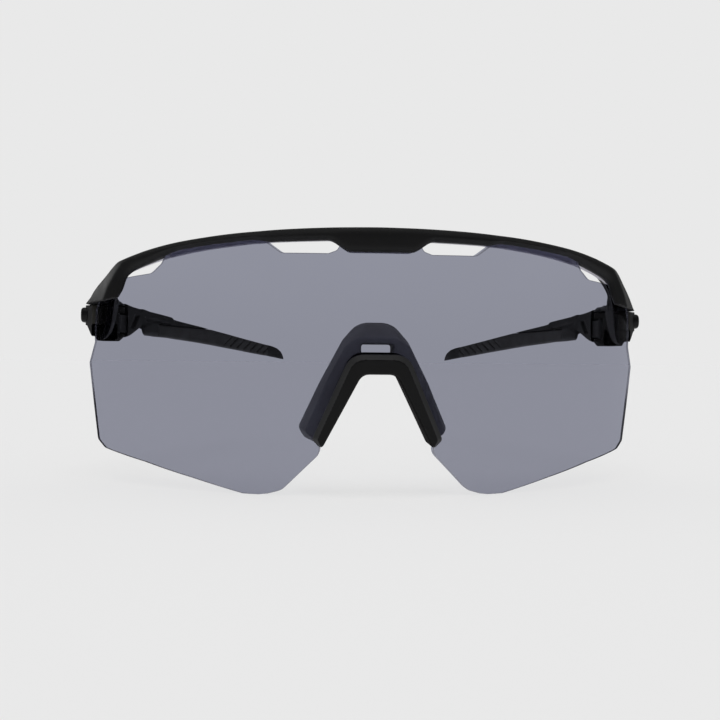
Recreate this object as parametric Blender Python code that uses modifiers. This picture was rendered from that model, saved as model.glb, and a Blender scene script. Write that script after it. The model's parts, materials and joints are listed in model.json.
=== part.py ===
"""Wraparound sport sunglasses: a one-piece curved shield lens hung in a half-rim
front frame, a clip-on nosepiece, and two folding arms with rubber grips.

Everything is drawn in a front datum: X to the right as seen from the front, Y backwards
from the lens apex, Z up from the lens' mid height. "Right" parts are at +X. An empty called
front_datum moves that datum so that the world origin is on the flat underside of the
nose saddle. The arms are drawn about their hinge axes, which are empties too.
"""

import math

import bmesh
import bpy
from mathutils import Matrix, Vector

# ----------------------------------------------------------------------------
# Shared dimensions, in millimetres and degrees
# ----------------------------------------------------------------------------
MM = 0.001

# lens: a cylinder-like sheet leaning back at the bottom
LENS_RADIUS = 82.0          # horizontal radius of the front surface
LENS_THICKNESS = 2.0
LENS_LEAN = -0.12           # slope of the surface at mid height (Y per Z)
LENS_LEAN_CURVE = 0.001     # vertical curvature term
LENS_STEP = 4.5             # facet length along the curve
GROOVE_GAP = 0.30           # clearance between the lens and the groove round it

# formed sheets
SHEET_MARGIN = 2.0          # blank beyond the outline, before it is cut
SHEET_ROW = 9.0             # facet height
STAMP_MARGIN = 1.0          # stamp beyond the blank's two faces

# hinge, with heights from the lens' mid height
HINGE_X, HINGE_Y = 64.6, 44.0
KNUCKLE_R = 2.9
KNUCKLE_LOW, KNUCKLE_HIGH = 6.5, 10.9
EAR_R = 3.8
SCREW_R, SCREW_HEAD_R = 0.9, 1.7
SCREW_HOLE_R = SCREW_R + 0.1
BUSH_R = 1.6
SWING = {"left": 11.3, "right": 1.7}    # how far each arm rests from fully open

# nosepiece and world origin
SADDLE_Z = -2.95            # flat underside of the nose saddle
DATUM_Y = 8.0               # the world origin, behind the lens apex


# ----------------------------------------------------------------------------
# Scene and collections
# ----------------------------------------------------------------------------
for old in list(bpy.data.objects):
    bpy.data.objects.remove(old, do_unlink=True)


def add_collection(name):
    collection = bpy.data.collections.new(name)
    bpy.context.scene.collection.children.link(collection)
    return collection


parts = add_collection("sport_sunglasses")
cutters = add_collection("cutters")


# ----------------------------------------------------------------------------
# Materials
# ----------------------------------------------------------------------------
def material(name, color, roughness, metallic=0.0, alpha=1.0):
    mat = bpy.data.materials.new(name)
    mat.use_nodes = True
    bsdf = mat.node_tree.nodes["Principled BSDF"]
    bsdf.inputs["Base Color"].default_value = (*color, 1.0)
    bsdf.inputs["Roughness"].default_value = roughness
    bsdf.inputs["Metallic"].default_value = metallic
    bsdf.inputs["Alpha"].default_value = alpha
    mat.diffuse_color = (*color, alpha)
    return mat


lens_mat = material("clear_grey_polycarbonate", color=(0.17, 0.17, 0.20), roughness=0.06, alpha=0.5)
frame_mat = material("matte_black_nylon", color=(0.012, 0.012, 0.013), roughness=0.55)
clip_mat = material("satin_black_nylon", color=(0.010, 0.010, 0.011), roughness=0.5)
pad_mat = material("soft_black_rubber", color=(0.10, 0.10, 0.105), roughness=0.75)
grip_mat = material("ribbed_grey_black_rubber", color=(0.022, 0.022, 0.024), roughness=0.8)
steel_mat = material("stainless_steel", color=(0.55, 0.55, 0.56), roughness=0.3, metallic=1.0)
brass_mat = material("brass_insert", color=(0.7, 0.52, 0.25), roughness=0.35, metallic=1.0)
bush_mat = material("acetal_bush", color=(0.012, 0.012, 0.012), roughness=0.45)
cap_mat = material("gloss_black_cap", color=(0.01, 0.01, 0.011), roughness=0.25)


# ----------------------------------------------------------------------------
# Points and outlines
# ----------------------------------------------------------------------------
def read_table(rows, position, column=1):
    """Straight-line reading of a table whose first column is the position."""
    if position <= rows[0][0]:
        return rows[0][column]
    for before, after in zip(rows, rows[1:]):
        if position <= after[0]:
            share = (position - before[0]) / (after[0] - before[0])
            return before[column] + (after[column] - before[column]) * share
    return rows[-1][column]


def lens_point(along, z, depth):
    """X, Y, Z of a point at an arc length, a height and a depth behind the lens' front."""
    angle = along / LENS_RADIUS
    slope = LENS_LEAN + 2 * LENS_LEAN_CURVE * z
    normal = Vector((-math.sin(angle), math.cos(angle), -math.cos(angle) * slope)).normalized()
    point = Vector((LENS_RADIUS * math.sin(angle),
                    LENS_RADIUS * (1 - math.cos(angle)) + LENS_LEAN * z + LENS_LEAN_CURVE * z * z,
                    z))
    return point + normal * depth


def with_mirror(half):
    """Half an outline of corners (x, y, radius), followed by its mirror image in x."""
    return list(half) + [(-x, y, radius) for x, y, radius in reversed(half)]


def flipped(outline, sign):
    """A flat outline with its first coordinate multiplied by sign."""
    return [(sign * x, y) for x, y in outline]


def rounded(corners, arc=5):
    """A closed outline from corners (x, y, radius), each corner a curve of arc segments."""
    out = []
    count = len(corners)
    for i, (x, y, radius) in enumerate(corners):
        corner = Vector((x, y))
        back = Vector(corners[i - 1][:2]) - corner
        ahead = Vector(corners[(i + 1) % count][:2]) - corner
        half_angle = back.angle(ahead) / 2
        nearly_straight = half_angle > math.pi / 2 - 0.02
        if radius <= 0 or nearly_straight:
            out.append((x, y))
            continue
        reach = min(radius / math.tan(half_angle), 0.48 * back.length, 0.48 * ahead.length)
        start = corner + back.normalized() * reach
        end = corner + ahead.normalized() * reach
        for k in range(arc + 1):
            share = k / arc
            # a quadratic blend stays inside the corner and meets both sides smoothly
            point = (start * (1 - share) ** 2 + corner * (2 * share * (1 - share))
                     + end * share * share)
            out.append((point.x, point.y))
    return out


def rounded_rectangle(x0, x1, y0, y1, radius, arc):
    return rounded([(x0, y0, radius), (x1, y0, radius), (x1, y1, radius), (x0, y1, radius)], arc)


def widened(outline, gap):
    """The outline moved outwards by gap."""
    count = len(outline)
    area = sum(outline[i - 1][0] * outline[i][1] - outline[i][0] * outline[i - 1][1]
               for i in range(count))
    turn = 1.0 if area > 0 else -1.0
    out = []
    for i in range(count):
        point = Vector(outline[i])
        before = (point - Vector(outline[i - 1])).normalized()
        after = (Vector(outline[(i + 1) % count]) - point).normalized()
        normal_before = Vector((before.y, -before.x)) * turn
        normal_after = Vector((after.y, -after.x)) * turn
        offset = normal_before + normal_after
        if offset.length > 1e-6:
            half_turn = normal_before.angle(normal_after, 0.0) / 2
            offset = offset.normalized() / max(0.5, math.cos(half_turn))
        else:
            offset = normal_before
        out.append(tuple(point + offset * gap))
    return out


def hinge_arc(radius, start, end, count):
    """Points round the right hinge axis, seen from above, with angles from +X."""
    angles = (math.radians(start + (end - start) * k / count) for k in range(count + 1))
    return [(HINGE_X + radius * math.cos(angle), HINGE_Y + radius * math.sin(angle))
            for angle in angles]


# ----------------------------------------------------------------------------
# Solids
# ----------------------------------------------------------------------------
def as_object(name, bm, where=parts):
    bmesh.ops.remove_doubles(bm, verts=bm.verts, dist=1e-7)
    bmesh.ops.recalc_face_normals(bm, faces=bm.faces)
    mesh = bpy.data.meshes.new(name)
    bm.to_mesh(mesh)
    bm.free()
    obj = bpy.data.objects.new(name, mesh)
    where.objects.link(obj)
    return obj


def baked(obj):
    """The evaluated object as a plain mesh object in world space; the source goes away."""
    bpy.context.view_layer.update()
    graph = bpy.context.evaluated_depsgraph_get()
    mesh = bpy.data.meshes.new_from_object(obj.evaluated_get(graph), depsgraph=graph)
    mesh.transform(obj.matrix_world)
    bm = bmesh.new()
    bm.from_mesh(mesh)
    bpy.data.meshes.remove(mesh)
    home = obj.users_collection[0]
    name = obj.name
    bpy.data.objects.remove(obj, do_unlink=True)
    return as_object(name, bm, home)


def combine(target, tool, operation):
    """One exact Boolean, baked; the tool is used up."""
    boolean = target.modifiers.new("combine", "BOOLEAN")
    boolean.operation = operation
    boolean.solver = "EXACT"
    boolean.object = tool
    done = baked(target)
    bpy.data.objects.remove(tool, do_unlink=True)
    return done


def join(target, tool):
    return combine(target, tool, "UNION")


def cut(target, tool):
    return combine(target, tool, "DIFFERENCE")


def solid_along_z(name, outline, low, high, where=cutters):
    """A flat outline (x, y) from height low to high, by a filled 2D curve."""
    curve = bpy.data.curves.new(name, "CURVE")
    curve.dimensions = "2D"
    curve.fill_mode = "BOTH"
    curve.extrude = (high - low) / 2 * MM
    spline = curve.splines.new("POLY")
    spline.points.add(len(outline) - 1)
    for point, (x, y) in zip(spline.points, outline):
        point.co = (x * MM, y * MM, 0, 1)
    spline.use_cyclic_u = True
    obj = bpy.data.objects.new(name, curve)
    obj.location.z = (low + high) / 2 * MM
    where.objects.link(obj)
    return baked(obj)


def solid_along_y(name, outline, front, rear):
    """A cutter from a flat outline (x, z), between two places on Y."""
    obj = solid_along_z(name, outline, -rear, -front)
    obj.data.transform(Matrix.Rotation(math.radians(90), 4, "X"))
    return obj


def solid_along_x(name, outline, x0, x1, y=0.0, z=0.0, where=cutters):
    """A flat outline (y, z) between two places on X, moved by y and z."""
    obj = solid_along_z(name, outline, x0, x1, where)
    obj.data.transform(Matrix(((0, 0, 1, 0), (1, 0, 0, y * MM), (0, 1, 0, z * MM), (0, 0, 0, 1))))
    return obj


def box_bmesh(size, centre):
    bm = bmesh.new()
    bmesh.ops.create_cube(bm, size=1.0)
    bmesh.ops.scale(bm, verts=bm.verts, vec=[value * MM for value in size])
    bmesh.ops.translate(bm, verts=bm.verts, vec=[value * MM for value in centre])
    return bm


def cylinder(name, x, y, low, high, radius, segments=24, where=cutters):
    bm = bmesh.new()
    bmesh.ops.create_cone(bm, cap_ends=True, segments=segments, radius1=radius * MM,
                          radius2=radius * MM, depth=(high - low) * MM)
    bmesh.ops.translate(bm, verts=bm.verts, vec=(x * MM, y * MM, (low + high) / 2 * MM))
    return as_object(name, bm, where)


def ring(name, x, y, low, high, inner_radius, outer_radius, segments=20):
    """A turned ring: a rectangular profile swept round a vertical axis by a Screw modifier."""
    corners = ((outer_radius, high), (outer_radius, low), (inner_radius, low), (inner_radius, high))
    mesh = bpy.data.meshes.new(name)
    mesh.from_pydata([(radius * MM, 0, z * MM) for radius, z in corners],
                     [(0, 1), (1, 2), (2, 3), (3, 0)], [])
    obj = bpy.data.objects.new(name, mesh)
    obj.location = (x * MM, y * MM, 0)
    parts.objects.link(obj)
    turn = obj.modifiers.new("turn", "SCREW")
    turn.angle = math.tau
    turn.steps = turn.render_steps = segments
    turn.use_merge_vertices = True
    turn.merge_threshold = 0.000001
    return baked(obj)


def loft(name, sections, where=parts, arch=False):
    """Closed rings of points joined one to the next, with both ends capped.

    An arch is a bent band whose ring runs down one side and back up the other, so its
    caps are strips of quads between the outer and the inner edge.
    """
    bm = bmesh.new()
    rings = [[bm.verts.new(Vector(point) * MM) for point in section] for section in sections]
    for this, following in zip(rings, rings[1:]):
        for i in range(len(this)):
            j = (i + 1) % len(this)
            bm.faces.new((this[i], this[j], following[j], following[i]))
    for end in (rings[0], rings[-1]):
        if arch:
            half = len(end) // 2
            for i in range(half // 2 - 1):
                bm.faces.new((end[i], end[i + 1], end[half - 2 - i], end[half - 1 - i]))
                bm.faces.new((end[-1 - i], end[-2 - i], end[half + 1 + i], end[half + i]))
            bm.faces.new((end[0], end[half - 1], end[half], end[-1]))
        else:
            bm.faces.new(end)
    bmesh.ops.recalc_face_normals(bm, faces=bm.faces)
    bmesh.ops.triangulate(bm, faces=bm.faces)
    return as_object(name, bm, where)


def slice_evenly(bm, axis, low, high, count):
    """Cut the mesh across an axis (0 or 1) into count equal strips, without parting it."""
    for k in range(1, count):
        place, normal = [0, 0, 0], [0, 0, 0]
        place[axis] = (low + (high - low) * k / count) * MM
        normal[axis] = 1
        bmesh.ops.bisect_plane(bm, geom=bm.verts[:] + bm.edges[:] + bm.faces[:],
                               plane_co=place, plane_no=normal)


def bent_sheet(name, outline, front, rear, where=parts, step=LENS_STEP):
    """A flat blank cut to an outline (arc length, height), then formed onto the lens
    surface between the depths front and rear."""
    left = min(point[0] for point in outline) - SHEET_MARGIN
    right = max(point[0] for point in outline) + SHEET_MARGIN
    low = min(point[1] for point in outline) - SHEET_MARGIN
    high = max(point[1] for point in outline) + SHEET_MARGIN
    bm = box_bmesh((right - left, high - low, rear - front),
                   ((left + right) / 2, (low + high) / 2, (front + rear) / 2))
    slice_evenly(bm, 0, left, right, max(1, round((right - left) / step)))
    slice_evenly(bm, 1, low, high, max(1, round((high - low) / SHEET_ROW)))
    blank = as_object(name, bm, where)
    stamp = solid_along_z(name + "_stamp", outline, front - STAMP_MARGIN, rear + STAMP_MARGIN)
    flat = combine(blank, stamp, "INTERSECT")
    bm = bmesh.new()
    bm.from_mesh(flat.data)
    bpy.data.objects.remove(flat, do_unlink=True)
    bmesh.ops.remove_doubles(bm, verts=bm.verts, dist=1e-6)
    bmesh.ops.triangulate(bm, faces=bm.faces)
    for vert in bm.verts:
        along, z, depth = vert.co / MM
        vert.co = lens_point(along, z, depth) * MM
    return as_object(name, bm, where)


# ----------------------------------------------------------------------------
# Datum, hinge axes and finishing
# ----------------------------------------------------------------------------
def add_empty(name, location, parent=None):
    empty = bpy.data.objects.new(name, None)
    empty.location = [value * MM for value in location]
    empty.parent = parent
    parts.objects.link(empty)
    return empty


datum = add_empty("front_datum", (0, -DATUM_Y, -SADDLE_Z))
fixed_parents = {"left": datum, "right": datum}
pivots = {}
for side, sign in (("left", -1), ("right", 1)):
    pivots[side] = add_empty("temple_pivot_" + side, (sign * HINGE_X, HINGE_Y, 0), datum)
    pivots[side].rotation_euler = (0, 0, math.radians(sign * SWING[side]))


def finish(obj, mat, parent, sharp_angle=30.0):
    obj.data.materials.clear()
    obj.data.materials.append(mat)
    obj.data.shade_smooth()
    obj.data.set_sharp_from_angle(angle=math.radians(sharp_angle))
    obj.parent = parent


def finish_pair(right, mat, parents, sharp_angle=30.0):
    """Finish a right-hand part and its mirrored left-hand twin."""
    name = right.name.replace("_right", "_left")
    mesh = right.data.copy()
    mesh.name = name
    mesh.transform(Matrix.Scale(-1, 4, (1, 0, 0)))
    mesh.flip_normals()
    left = bpy.data.objects.new(name, mesh)
    parts.objects.link(left)
    finish(right, mat, parents["right"], sharp_angle)
    finish(left, mat, parents["left"], sharp_angle)


# ----------------------------------------------------------------------------
# Shield lens
# ----------------------------------------------------------------------------
# right half from the top centre round to the nose cut: arc length, height, corner radius
LENS_HALF = (
    (7.6, 26.4, 0.8), (9.4, 23.3, 1.2), (11.2, 22.65, 1.2), (21.4, 22.8, 2.2), (26.0, 26.0, 0.8),
    (35.0, 25.3, 0), (42.0, 24.7, 0), (49.9, 23.7, 0.4), (51.6, 21.2, 2.0), (54.6, 19.2, 3.0),
    (61.0, 18.75, 1.5), (65.0, 18.4, 0.8), (67.2, 19.1, 0.6), (73.3, 15.9, 0.8),
    (76.4, 11.5, 1.5), (77.1, 7.0, 1.0), (77.1, 3.8, 1.0), (80.3, -1.2, 1.2),
    (76.25, -20.0, 1.4), (72.9, -21.9, 2.5), (57.3, -24.2, 6.0), (42.9, -27.1, 6.0),
    (27.2, -30.65, 3.0), (20.9, -28.9, 4.0), (12.5, -20.6, 2.5), (12.7, -17.3, 0.8),
    (4.7, -0.9, 2.6),
)
LENS_OUTLINE = rounded(with_mirror(LENS_HALF))
LENS_FOOT_Z = -30.0         # height of the two small flats the lens stands on
FOOT_CUT_SIZE = (120, 60, 6)
FOOT_CUT_Y = 15


def build_lens():
    lens = bent_sheet("shield_lens", LENS_OUTLINE, 0.0, LENS_THICKNESS)
    # two small horizontal flats at the lowest points, so the lens stands level
    below = box_bmesh(FOOT_CUT_SIZE, (0, FOOT_CUT_Y, LENS_FOOT_Z - FOOT_CUT_SIZE[2] / 2))
    lens = cut(lens, as_object("foot_plane", below, cutters))
    finish(lens, lens_mat, datum, 35)


def lens_groove(name):
    """Cutter for the room the lens takes up, with its clearance."""
    return bent_sheet(name, widened(LENS_OUTLINE, GROOVE_GAP),
                      -GROOVE_GAP, LENS_THICKNESS + GROOVE_GAP, cutters)


# ----------------------------------------------------------------------------
# Front frame: brow bar, frame ends, lens posts and hinge shelves
# ----------------------------------------------------------------------------
FRONT_LIP = 2.2             # how far the frame stands in front of the lens surface
REAR_LIP = 4.4              # rear face of the frame behind the lens front surface
# arc length, height of the frame's top edge
TOP_EDGE = (
    (0, 28.3), (9, 28.2), (15, 28.05), (22, 27.8), (26, 27.55), (31, 27.3), (35.6, 26.95),
    (41, 26.45), (46.5, 25.9), (51.5, 25.2), (55, 24.6), (58.5, 24.0), (61.5, 23.25))
# arc length, height of the frame's rear lower edge
LOW_EDGE = (
    (0, 22.75), (7.0, 22.75), (10.6, 25.3), (24, 25.05), (26, 24.85), (29.3, 24.75),
    (33.5, 24.4), (37.3, 24.1), (40.9, 23.75), (45, 23.3), (49.5, 22.75), (52.7, 22.35),
    (56.0, 21.8), (58.5, 21.3), (61.5, 20.7))
# arc length, height of the front lower edge where it drops towards the frame end
FRONT_EDGE = ((47.0, 23.7), (50.0, 22.7), (54.6, 21.2), (58.0, 20.3), (60.0, 19.4))
BROW_STATIONS = (0, 3.5, 7.0, 8.8, 10.6, 15, 19.5, 24, 26.5, 31, 35.6, 41, 46.5, 50.0, 53.5, 56.5)
# the front lower edge is higher than the rear one: by a little in the middle, and
# by a step that grows from STEP_START over STEP_RAMP
MIDDLE_END, MIDDLE_RISE = 7.1, 0.1
STEP_START, STEP_RAMP, STEP_RISE = 24.0, 2.5, 0.75

SHELF_LOW, SHELF_HIGH = 13.15, 14.5     # shelf that carries the hinge
SHELF_INNER = [(61.6, 41.0), (61.3, 36.0), (60.7, 33.0), (62.6, 32.0)]  # x, y
# shelf edge cutters (x, z): inner rim round the hinge, and outer top slope
SHELF_RIM = ((60.0, 13.3), (60.7, 13.3), (62.5, 14.55), (62.5, 16.0), (60.0, 16.0))
SHELF_RIM_FRONT = 37.5
SHELF_SLOPE = ((69.6, 13.35), (69.1, 13.4), (67.7, 14.8), (67.7, 16.0), (69.6, 16.0))
HINGE_CUT_Y = (30, 60)      # front and rear of the cutters for the edges at the hinge

# post behind the lens edge: seen from the front (x, z) and from above (x, y)
POST_FACE = (
    (60.9, 14.2), (61.1, 12.4), (61.8, 8.5), (62.6, 6.2), (63.8, 4.7), (65.2, 4.3),
    (65.2, 5.5), (64.5, 5.9), (63.8, 8.0), (63.0, 12.4), (62.9, 14.2))
POST_PLAN = ((59.5, 26.5), (60.0, 27.0), (62.5, 29.5), (65.5, 33.5), (65.5, 36.3), (59.5, 36.3))

SCREW_HOLE_Z = (12, 16)
SCREW_SEAT_Z = (13.95, 16)  # counterbored seat for the screw head
SCREW_SEAT_R = SCREW_HEAD_R + 0.15


def brow_section(along):
    """Cross-section of the brow bar, a ring of eight points."""
    top = read_table(TOP_EDGE, along)
    rear_low = read_table(LOW_EDGE, along)
    front_low = rear_low + STEP_RISE * min(1.0, max(0.0, (along - STEP_START) / STEP_RAMP))
    if along < MIDDLE_END:
        front_low += MIDDLE_RISE
    if along > FRONT_EDGE[0][0]:
        front_low = min(front_low, read_table(FRONT_EDGE, along))
    # height, depth
    section = ((front_low, -1.2), (front_low + 0.6, -FRONT_LIP), (top - 1.1, -FRONT_LIP),
               (top, -0.9), (top - 0.15, 3.4), (top - 1.0, REAR_LIP),
               (rear_low + 0.7, REAR_LIP), (rear_low, 3.5))
    return [lens_point(along, z, depth) for z, depth in section]


def frame_end_sections():
    """The frame end, from the corner of the brow down and back to the hinge shelf."""
    return [
        [lens_point(58.9, 19.85, -1.2), lens_point(59.1, 20.4, -FRONT_LIP),
         lens_point(61.3, 22.2, -FRONT_LIP), lens_point(63.0, 23.0, -0.6),
         lens_point(63.6, 22.8, 3.5), lens_point(63.8, 21.9, REAR_LIP + 0.2),
         lens_point(63.2, 21.0, REAR_LIP + 0.2), lens_point(62.6, 20.5, 3.5)],
        [lens_point(61.0, 18.5, -1.2), lens_point(61.2, 18.9, -FRONT_LIP),
         lens_point(63.2, 20.7, -FRONT_LIP), lens_point(67.0, 22.1, -0.4),
         lens_point(68.6, 21.6, 3.6), lens_point(69.6, 20.8, REAR_LIP + 0.9),
         lens_point(68.8, 19.5, REAR_LIP + 0.7), lens_point(67.4, 19.3, 3.5)],
        [lens_point(62.4, 16.0, -1.2), lens_point(62.5, 16.2, -FRONT_LIP),
         lens_point(67.0, 16.9, -FRONT_LIP), lens_point(72.6, 18.6, -0.1),
         Vector((64.3, 32.5, 18.5)), Vector((62.0, 33.6, 17.9)),
         Vector((60.2, 32.4, 16.9)), lens_point(71.9, 16.6, 3.6)],
        [lens_point(63.4, 14.9, -1.2), lens_point(63.5, 15.0, -FRONT_LIP),
         lens_point(68.2, 15.2, -FRONT_LIP), lens_point(77.0, 15.9, 0.0),
         Vector((67.2, 36.0, 16.0)), Vector((62.6, 36.6, 15.5)),
         Vector((60.9, 34.6, 14.9)), lens_point(73.2, 14.8, 3.6)],
        [lens_point(64.3, 14.05, -1.2), lens_point(64.6, 14.05, -FRONT_LIP),
         lens_point(69.4, 13.45, -FRONT_LIP), Vector((68.3, 34.8, SHELF_LOW)),
         Vector((69.1, 39.0, SHELF_LOW)), Vector((61.9, 39.0, SHELF_LOW)),
         Vector((61.3, 34.8, SHELF_LOW)), lens_point(73.9, 13.4, 3.6)],
    ]


def hinge_plan(front_inner):
    """Shelf or block seen from above, anticlockwise: outer wall, hinge disc, inner front."""
    outer = [(67.2, 34.9), (69.2, 37.2), (69.2, 44.0), (68.8, 48.0), (68.0, 48.0)]
    return outer + hinge_arc(EAR_R, 52.0, 215.0, 12) + front_inner


def hinge_shelf(sign):
    plan = flipped(hinge_plan(SHELF_INNER), sign)
    shelf = solid_along_z("shelf", plan, SHELF_LOW, SHELF_HIGH)
    shelf = cut(shelf, solid_along_y("slope", flipped(SHELF_SLOPE, sign), *HINGE_CUT_Y))
    rim = solid_along_y("rim", flipped(SHELF_RIM, sign), SHELF_RIM_FRONT, HINGE_CUT_Y[1])
    return cut(shelf, rim)


def lens_post(sign):
    """Wall behind the lens edge, which carries the lens' outer corner and hides the hinge."""
    post = solid_along_y("post", flipped(POST_FACE, sign), 26.0, 37.0)
    plan = solid_along_z("plan", flipped(POST_PLAN, sign), 3.0, 15.0)
    return combine(post, plan, "INTERSECT")


def build_frame():
    right = [brow_section(along) for along in BROW_STATIONS] + frame_end_sections()
    left = [[Vector((-x, y, z)) for x, y, z in section] for section in right[1:]]
    frame = loft("front_frame", list(reversed(left)) + right)
    for make_piece in (hinge_shelf, lens_post):
        for sign in (1, -1):
            frame = join(frame, make_piece(sign))
    frame = cut(frame, lens_groove("groove"))
    for sign in (1, -1):
        for (low, high), radius in ((SCREW_HOLE_Z, SCREW_HOLE_R), (SCREW_SEAT_Z, SCREW_SEAT_R)):
            frame = cut(frame, cylinder("hole", sign * HINGE_X, HINGE_Y, low, high, radius))
    finish(frame, frame_mat, datum)


# ----------------------------------------------------------------------------
# Hinge blocks and caps
# ----------------------------------------------------------------------------
BLOCK_LOW, BLOCK_HIGH = 4.2, 12.85
BLOCK_INNER = [(61.9, 41.0), (61.9, 37.3), (63.9, 36.9), (65.4, 35.3)]  # x, y
SLOT_LOW, SLOT_HIGH = 6.1, 11.3
SLOT_R = KNUCKLE_R + 0.35
SLOT_REACH = 9              # slot cutter beyond the hinge axis, inwards and to the rear
# block edge cutters: lower outer slope (x, z), undercut front (y, z), lower inner rim (x, z)
BLOCK_SLOPE = ((69.9, 7.9), (69.9, 3.0), (65.6, 3.0), (66.8, 4.2), (68.8, 7.9))
BLOCK_UNDERCUT = ((30, 3.0), (39.6, 3.0), (39.4, 5.6), (38.0, 8.0), (30, 8.0))
BLOCK_RIM = ((60.0, 3.5), (62.7, 3.5), (62.7, 4.1), (60.7, 5.6), (60.0, 5.6))
NUT_R = 1.9

# oval cap in a shallow pocket in the block's outer face
CAP_Y, CAP_Z = 39.6, 10.5
CAP_OUTLINE = rounded_rectangle(-2.9, 2.9, -1.85, 1.85, radius=1.8, arc=6)
CAP_X = (68.7, 70.35)
POCKET_X = (68.45, 72)
POCKET_GAP = 0.2


def build_hinge_blocks():
    block = solid_along_z("hinge_block_right", hinge_plan(BLOCK_INNER),
                          BLOCK_LOW, BLOCK_HIGH, parts)
    # slot for the knuckle, open to the rear and to the inside
    slot_plan = hinge_arc(SLOT_R, -90, 0, 8) + [(HINGE_X + SLOT_R, HINGE_Y + SLOT_REACH),
                                                (HINGE_X - SLOT_REACH, HINGE_Y + SLOT_REACH),
                                                (HINGE_X - SLOT_REACH, HINGE_Y - SLOT_R)]
    block = cut(block, solid_along_z("slot", slot_plan, SLOT_LOW, SLOT_HIGH))
    block = cut(block, solid_along_y("slope", BLOCK_SLOPE, *HINGE_CUT_Y))
    block = cut(block, solid_along_x("undercut", BLOCK_UNDERCUT, 55, 67.3))
    block = cut(block, solid_along_y("rim", BLOCK_RIM, *HINGE_CUT_Y))
    pocket = widened(CAP_OUTLINE, POCKET_GAP)
    block = cut(block, solid_along_x("pocket", pocket, *POCKET_X, CAP_Y, CAP_Z))
    # nut seat in the lower ear, then the screw hole in the upper one
    for low, high, radius in ((2, 7, NUT_R + 0.05), (10, 14, SCREW_HOLE_R)):
        block = cut(block, cylinder("hole", HINGE_X, HINGE_Y, low, high, radius))
    finish_pair(block, frame_mat, fixed_parents)


def build_hinge_caps():
    cap = solid_along_x("hinge_cap_right", CAP_OUTLINE, *CAP_X, CAP_Y, CAP_Z, parts)
    bevel = cap.modifiers.new("edge", "BEVEL")
    bevel.width = 0.35 * MM
    bevel.segments = 2
    bevel.limit_method = "ANGLE"
    bevel.angle_limit = math.radians(50)
    finish_pair(baked(cap), cap_mat, fixed_parents, 40)


# ----------------------------------------------------------------------------
# Hinge screws, nuts, bushes and washers
# ----------------------------------------------------------------------------
SHANK_Z = (4.5, 14.2)
HEAD_Z = (14.05, 14.85)
SOCKET_Z = (14.4, 15.5)
SOCKET_R = 0.75
RING_BORE_R = SCREW_R + 0.06
STACK_GAP = 0.05            # vertical clearance between the stacked hinge parts
WASHER_R = 2.6


def build_screws():
    screw = cylinder("hinge_screw_right", HINGE_X, HINGE_Y, *SHANK_Z, SCREW_R, 20, parts)
    screw = join(screw, cylinder("head", HINGE_X, HINGE_Y, *HEAD_Z, SCREW_HEAD_R))
    # hexagonal socket
    screw = cut(screw, cylinder("socket", HINGE_X, HINGE_Y, *SOCKET_Z, SOCKET_R, 6))
    finish_pair(screw, steel_mat, fixed_parents)


def build_hinge_rings():
    # name, bottom, top, outer radius, material
    fixed_rings = (
        ("hinge_nut_right", BLOCK_LOW + 0.1, SLOT_LOW - STACK_GAP, NUT_R - 0.02, brass_mat),
        ("hinge_washer_lower_right", SLOT_LOW + STACK_GAP, KNUCKLE_LOW - STACK_GAP,
         WASHER_R, bush_mat),
        ("hinge_washer_upper_right", KNUCKLE_HIGH + STACK_GAP, SLOT_HIGH - STACK_GAP,
         WASHER_R, bush_mat),
    )
    for name, low, high, radius, mat in fixed_rings:
        fixed = ring(name, HINGE_X, HINGE_Y, low, high, RING_BORE_R, radius)
        finish_pair(fixed, mat, fixed_parents)
    # the bush is pressed into the knuckle, so it is drawn about the hinge axis
    bush = ring("hinge_bush_right", 0, 0, KNUCKLE_LOW + STACK_GAP, KNUCKLE_HIGH - STACK_GAP,
                RING_BORE_R, BUSH_R)
    finish_pair(bush, bush_mat, pivots)


# ----------------------------------------------------------------------------
# Arms, drawn fully open about the hinge axis with X outwards and Y backwards
# ----------------------------------------------------------------------------
# distance behind the hinge, top height, bottom height
ARM_PROFILE = (
    (4.7, 13.9, 5.25), (7, 13.6, 5.65), (9.2, 13.35, 6.4), (13.6, 13.05, 8.0),
    (14.3, 13.0, 8.3), (14.6, 13.0, 7.2), (15.4, 12.95, 6.4), (19, 12.7, 6.1),
    (24, 12.4, 5.95), (30.5, 12.0, 5.85), (34.6, 11.7, 5.78), (35.8, 11.1, 5.75),
    (38, 10.9, 5.6), (45, 10.4, 5.3), (55, 9.7, 4.85), (65, 8.85, 4.25),
    (75, 8.0, 3.55), (85, 7.05, 2.85), (95, 6.1, 2.05), (105, 5.1, 1.3),
    (110, 4.65, 0.9), (114, 3.95, 0.55), (117.5, 2.75, 0.25), (119.6, 1.4, 0.05),
    (120.5, 0.55, -0.05))
# distance, height of the underside on the outer part of the arm; a thin lip hangs below
# it along the inner face, down to the bottom height above
ARM_UNDERSIDE = (
    (4.7, 5.4), (7, 5.8), (9.2, 6.55), (13.6, 8.15), (14.3, 8.5), (28, 8.5), (33.6, 8.2),
    (38, 7.8), (45, 7.2), (55, 6.3), (65, 5.4), (75, 4.5), (85, 3.6), (95, 2.6),
    (105, 1.65), (112, 0.95), (117.5, 0.45), (120.5, 0.05))
# distance, width of the lip
ARM_LIP = ((13.6, 6.0), (14.3, 0.5), (15.6, 0.6), (25.0, 4.0))
ARM_LIP_START = 14
ARM_START = ARM_PROFILE[0][0]
ARM_LENGTH = ARM_PROFILE[-1][0]
ARM_SLOPE_ROOT = math.tan(math.radians(4.0))    # inward slope of the centre line
ARM_SLOPE_TIP = math.tan(math.radians(15.0))
ARM_HALF_ROOT, ARM_HALF_TIP = 3.1, 1.45         # half widths
ARM_CHAMFER = 0.9
TIP_START, TIP_TAPER, TIP_MIN_SHARE = 112, 9.2, 0.35    # elliptical narrowing at the tip

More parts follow.
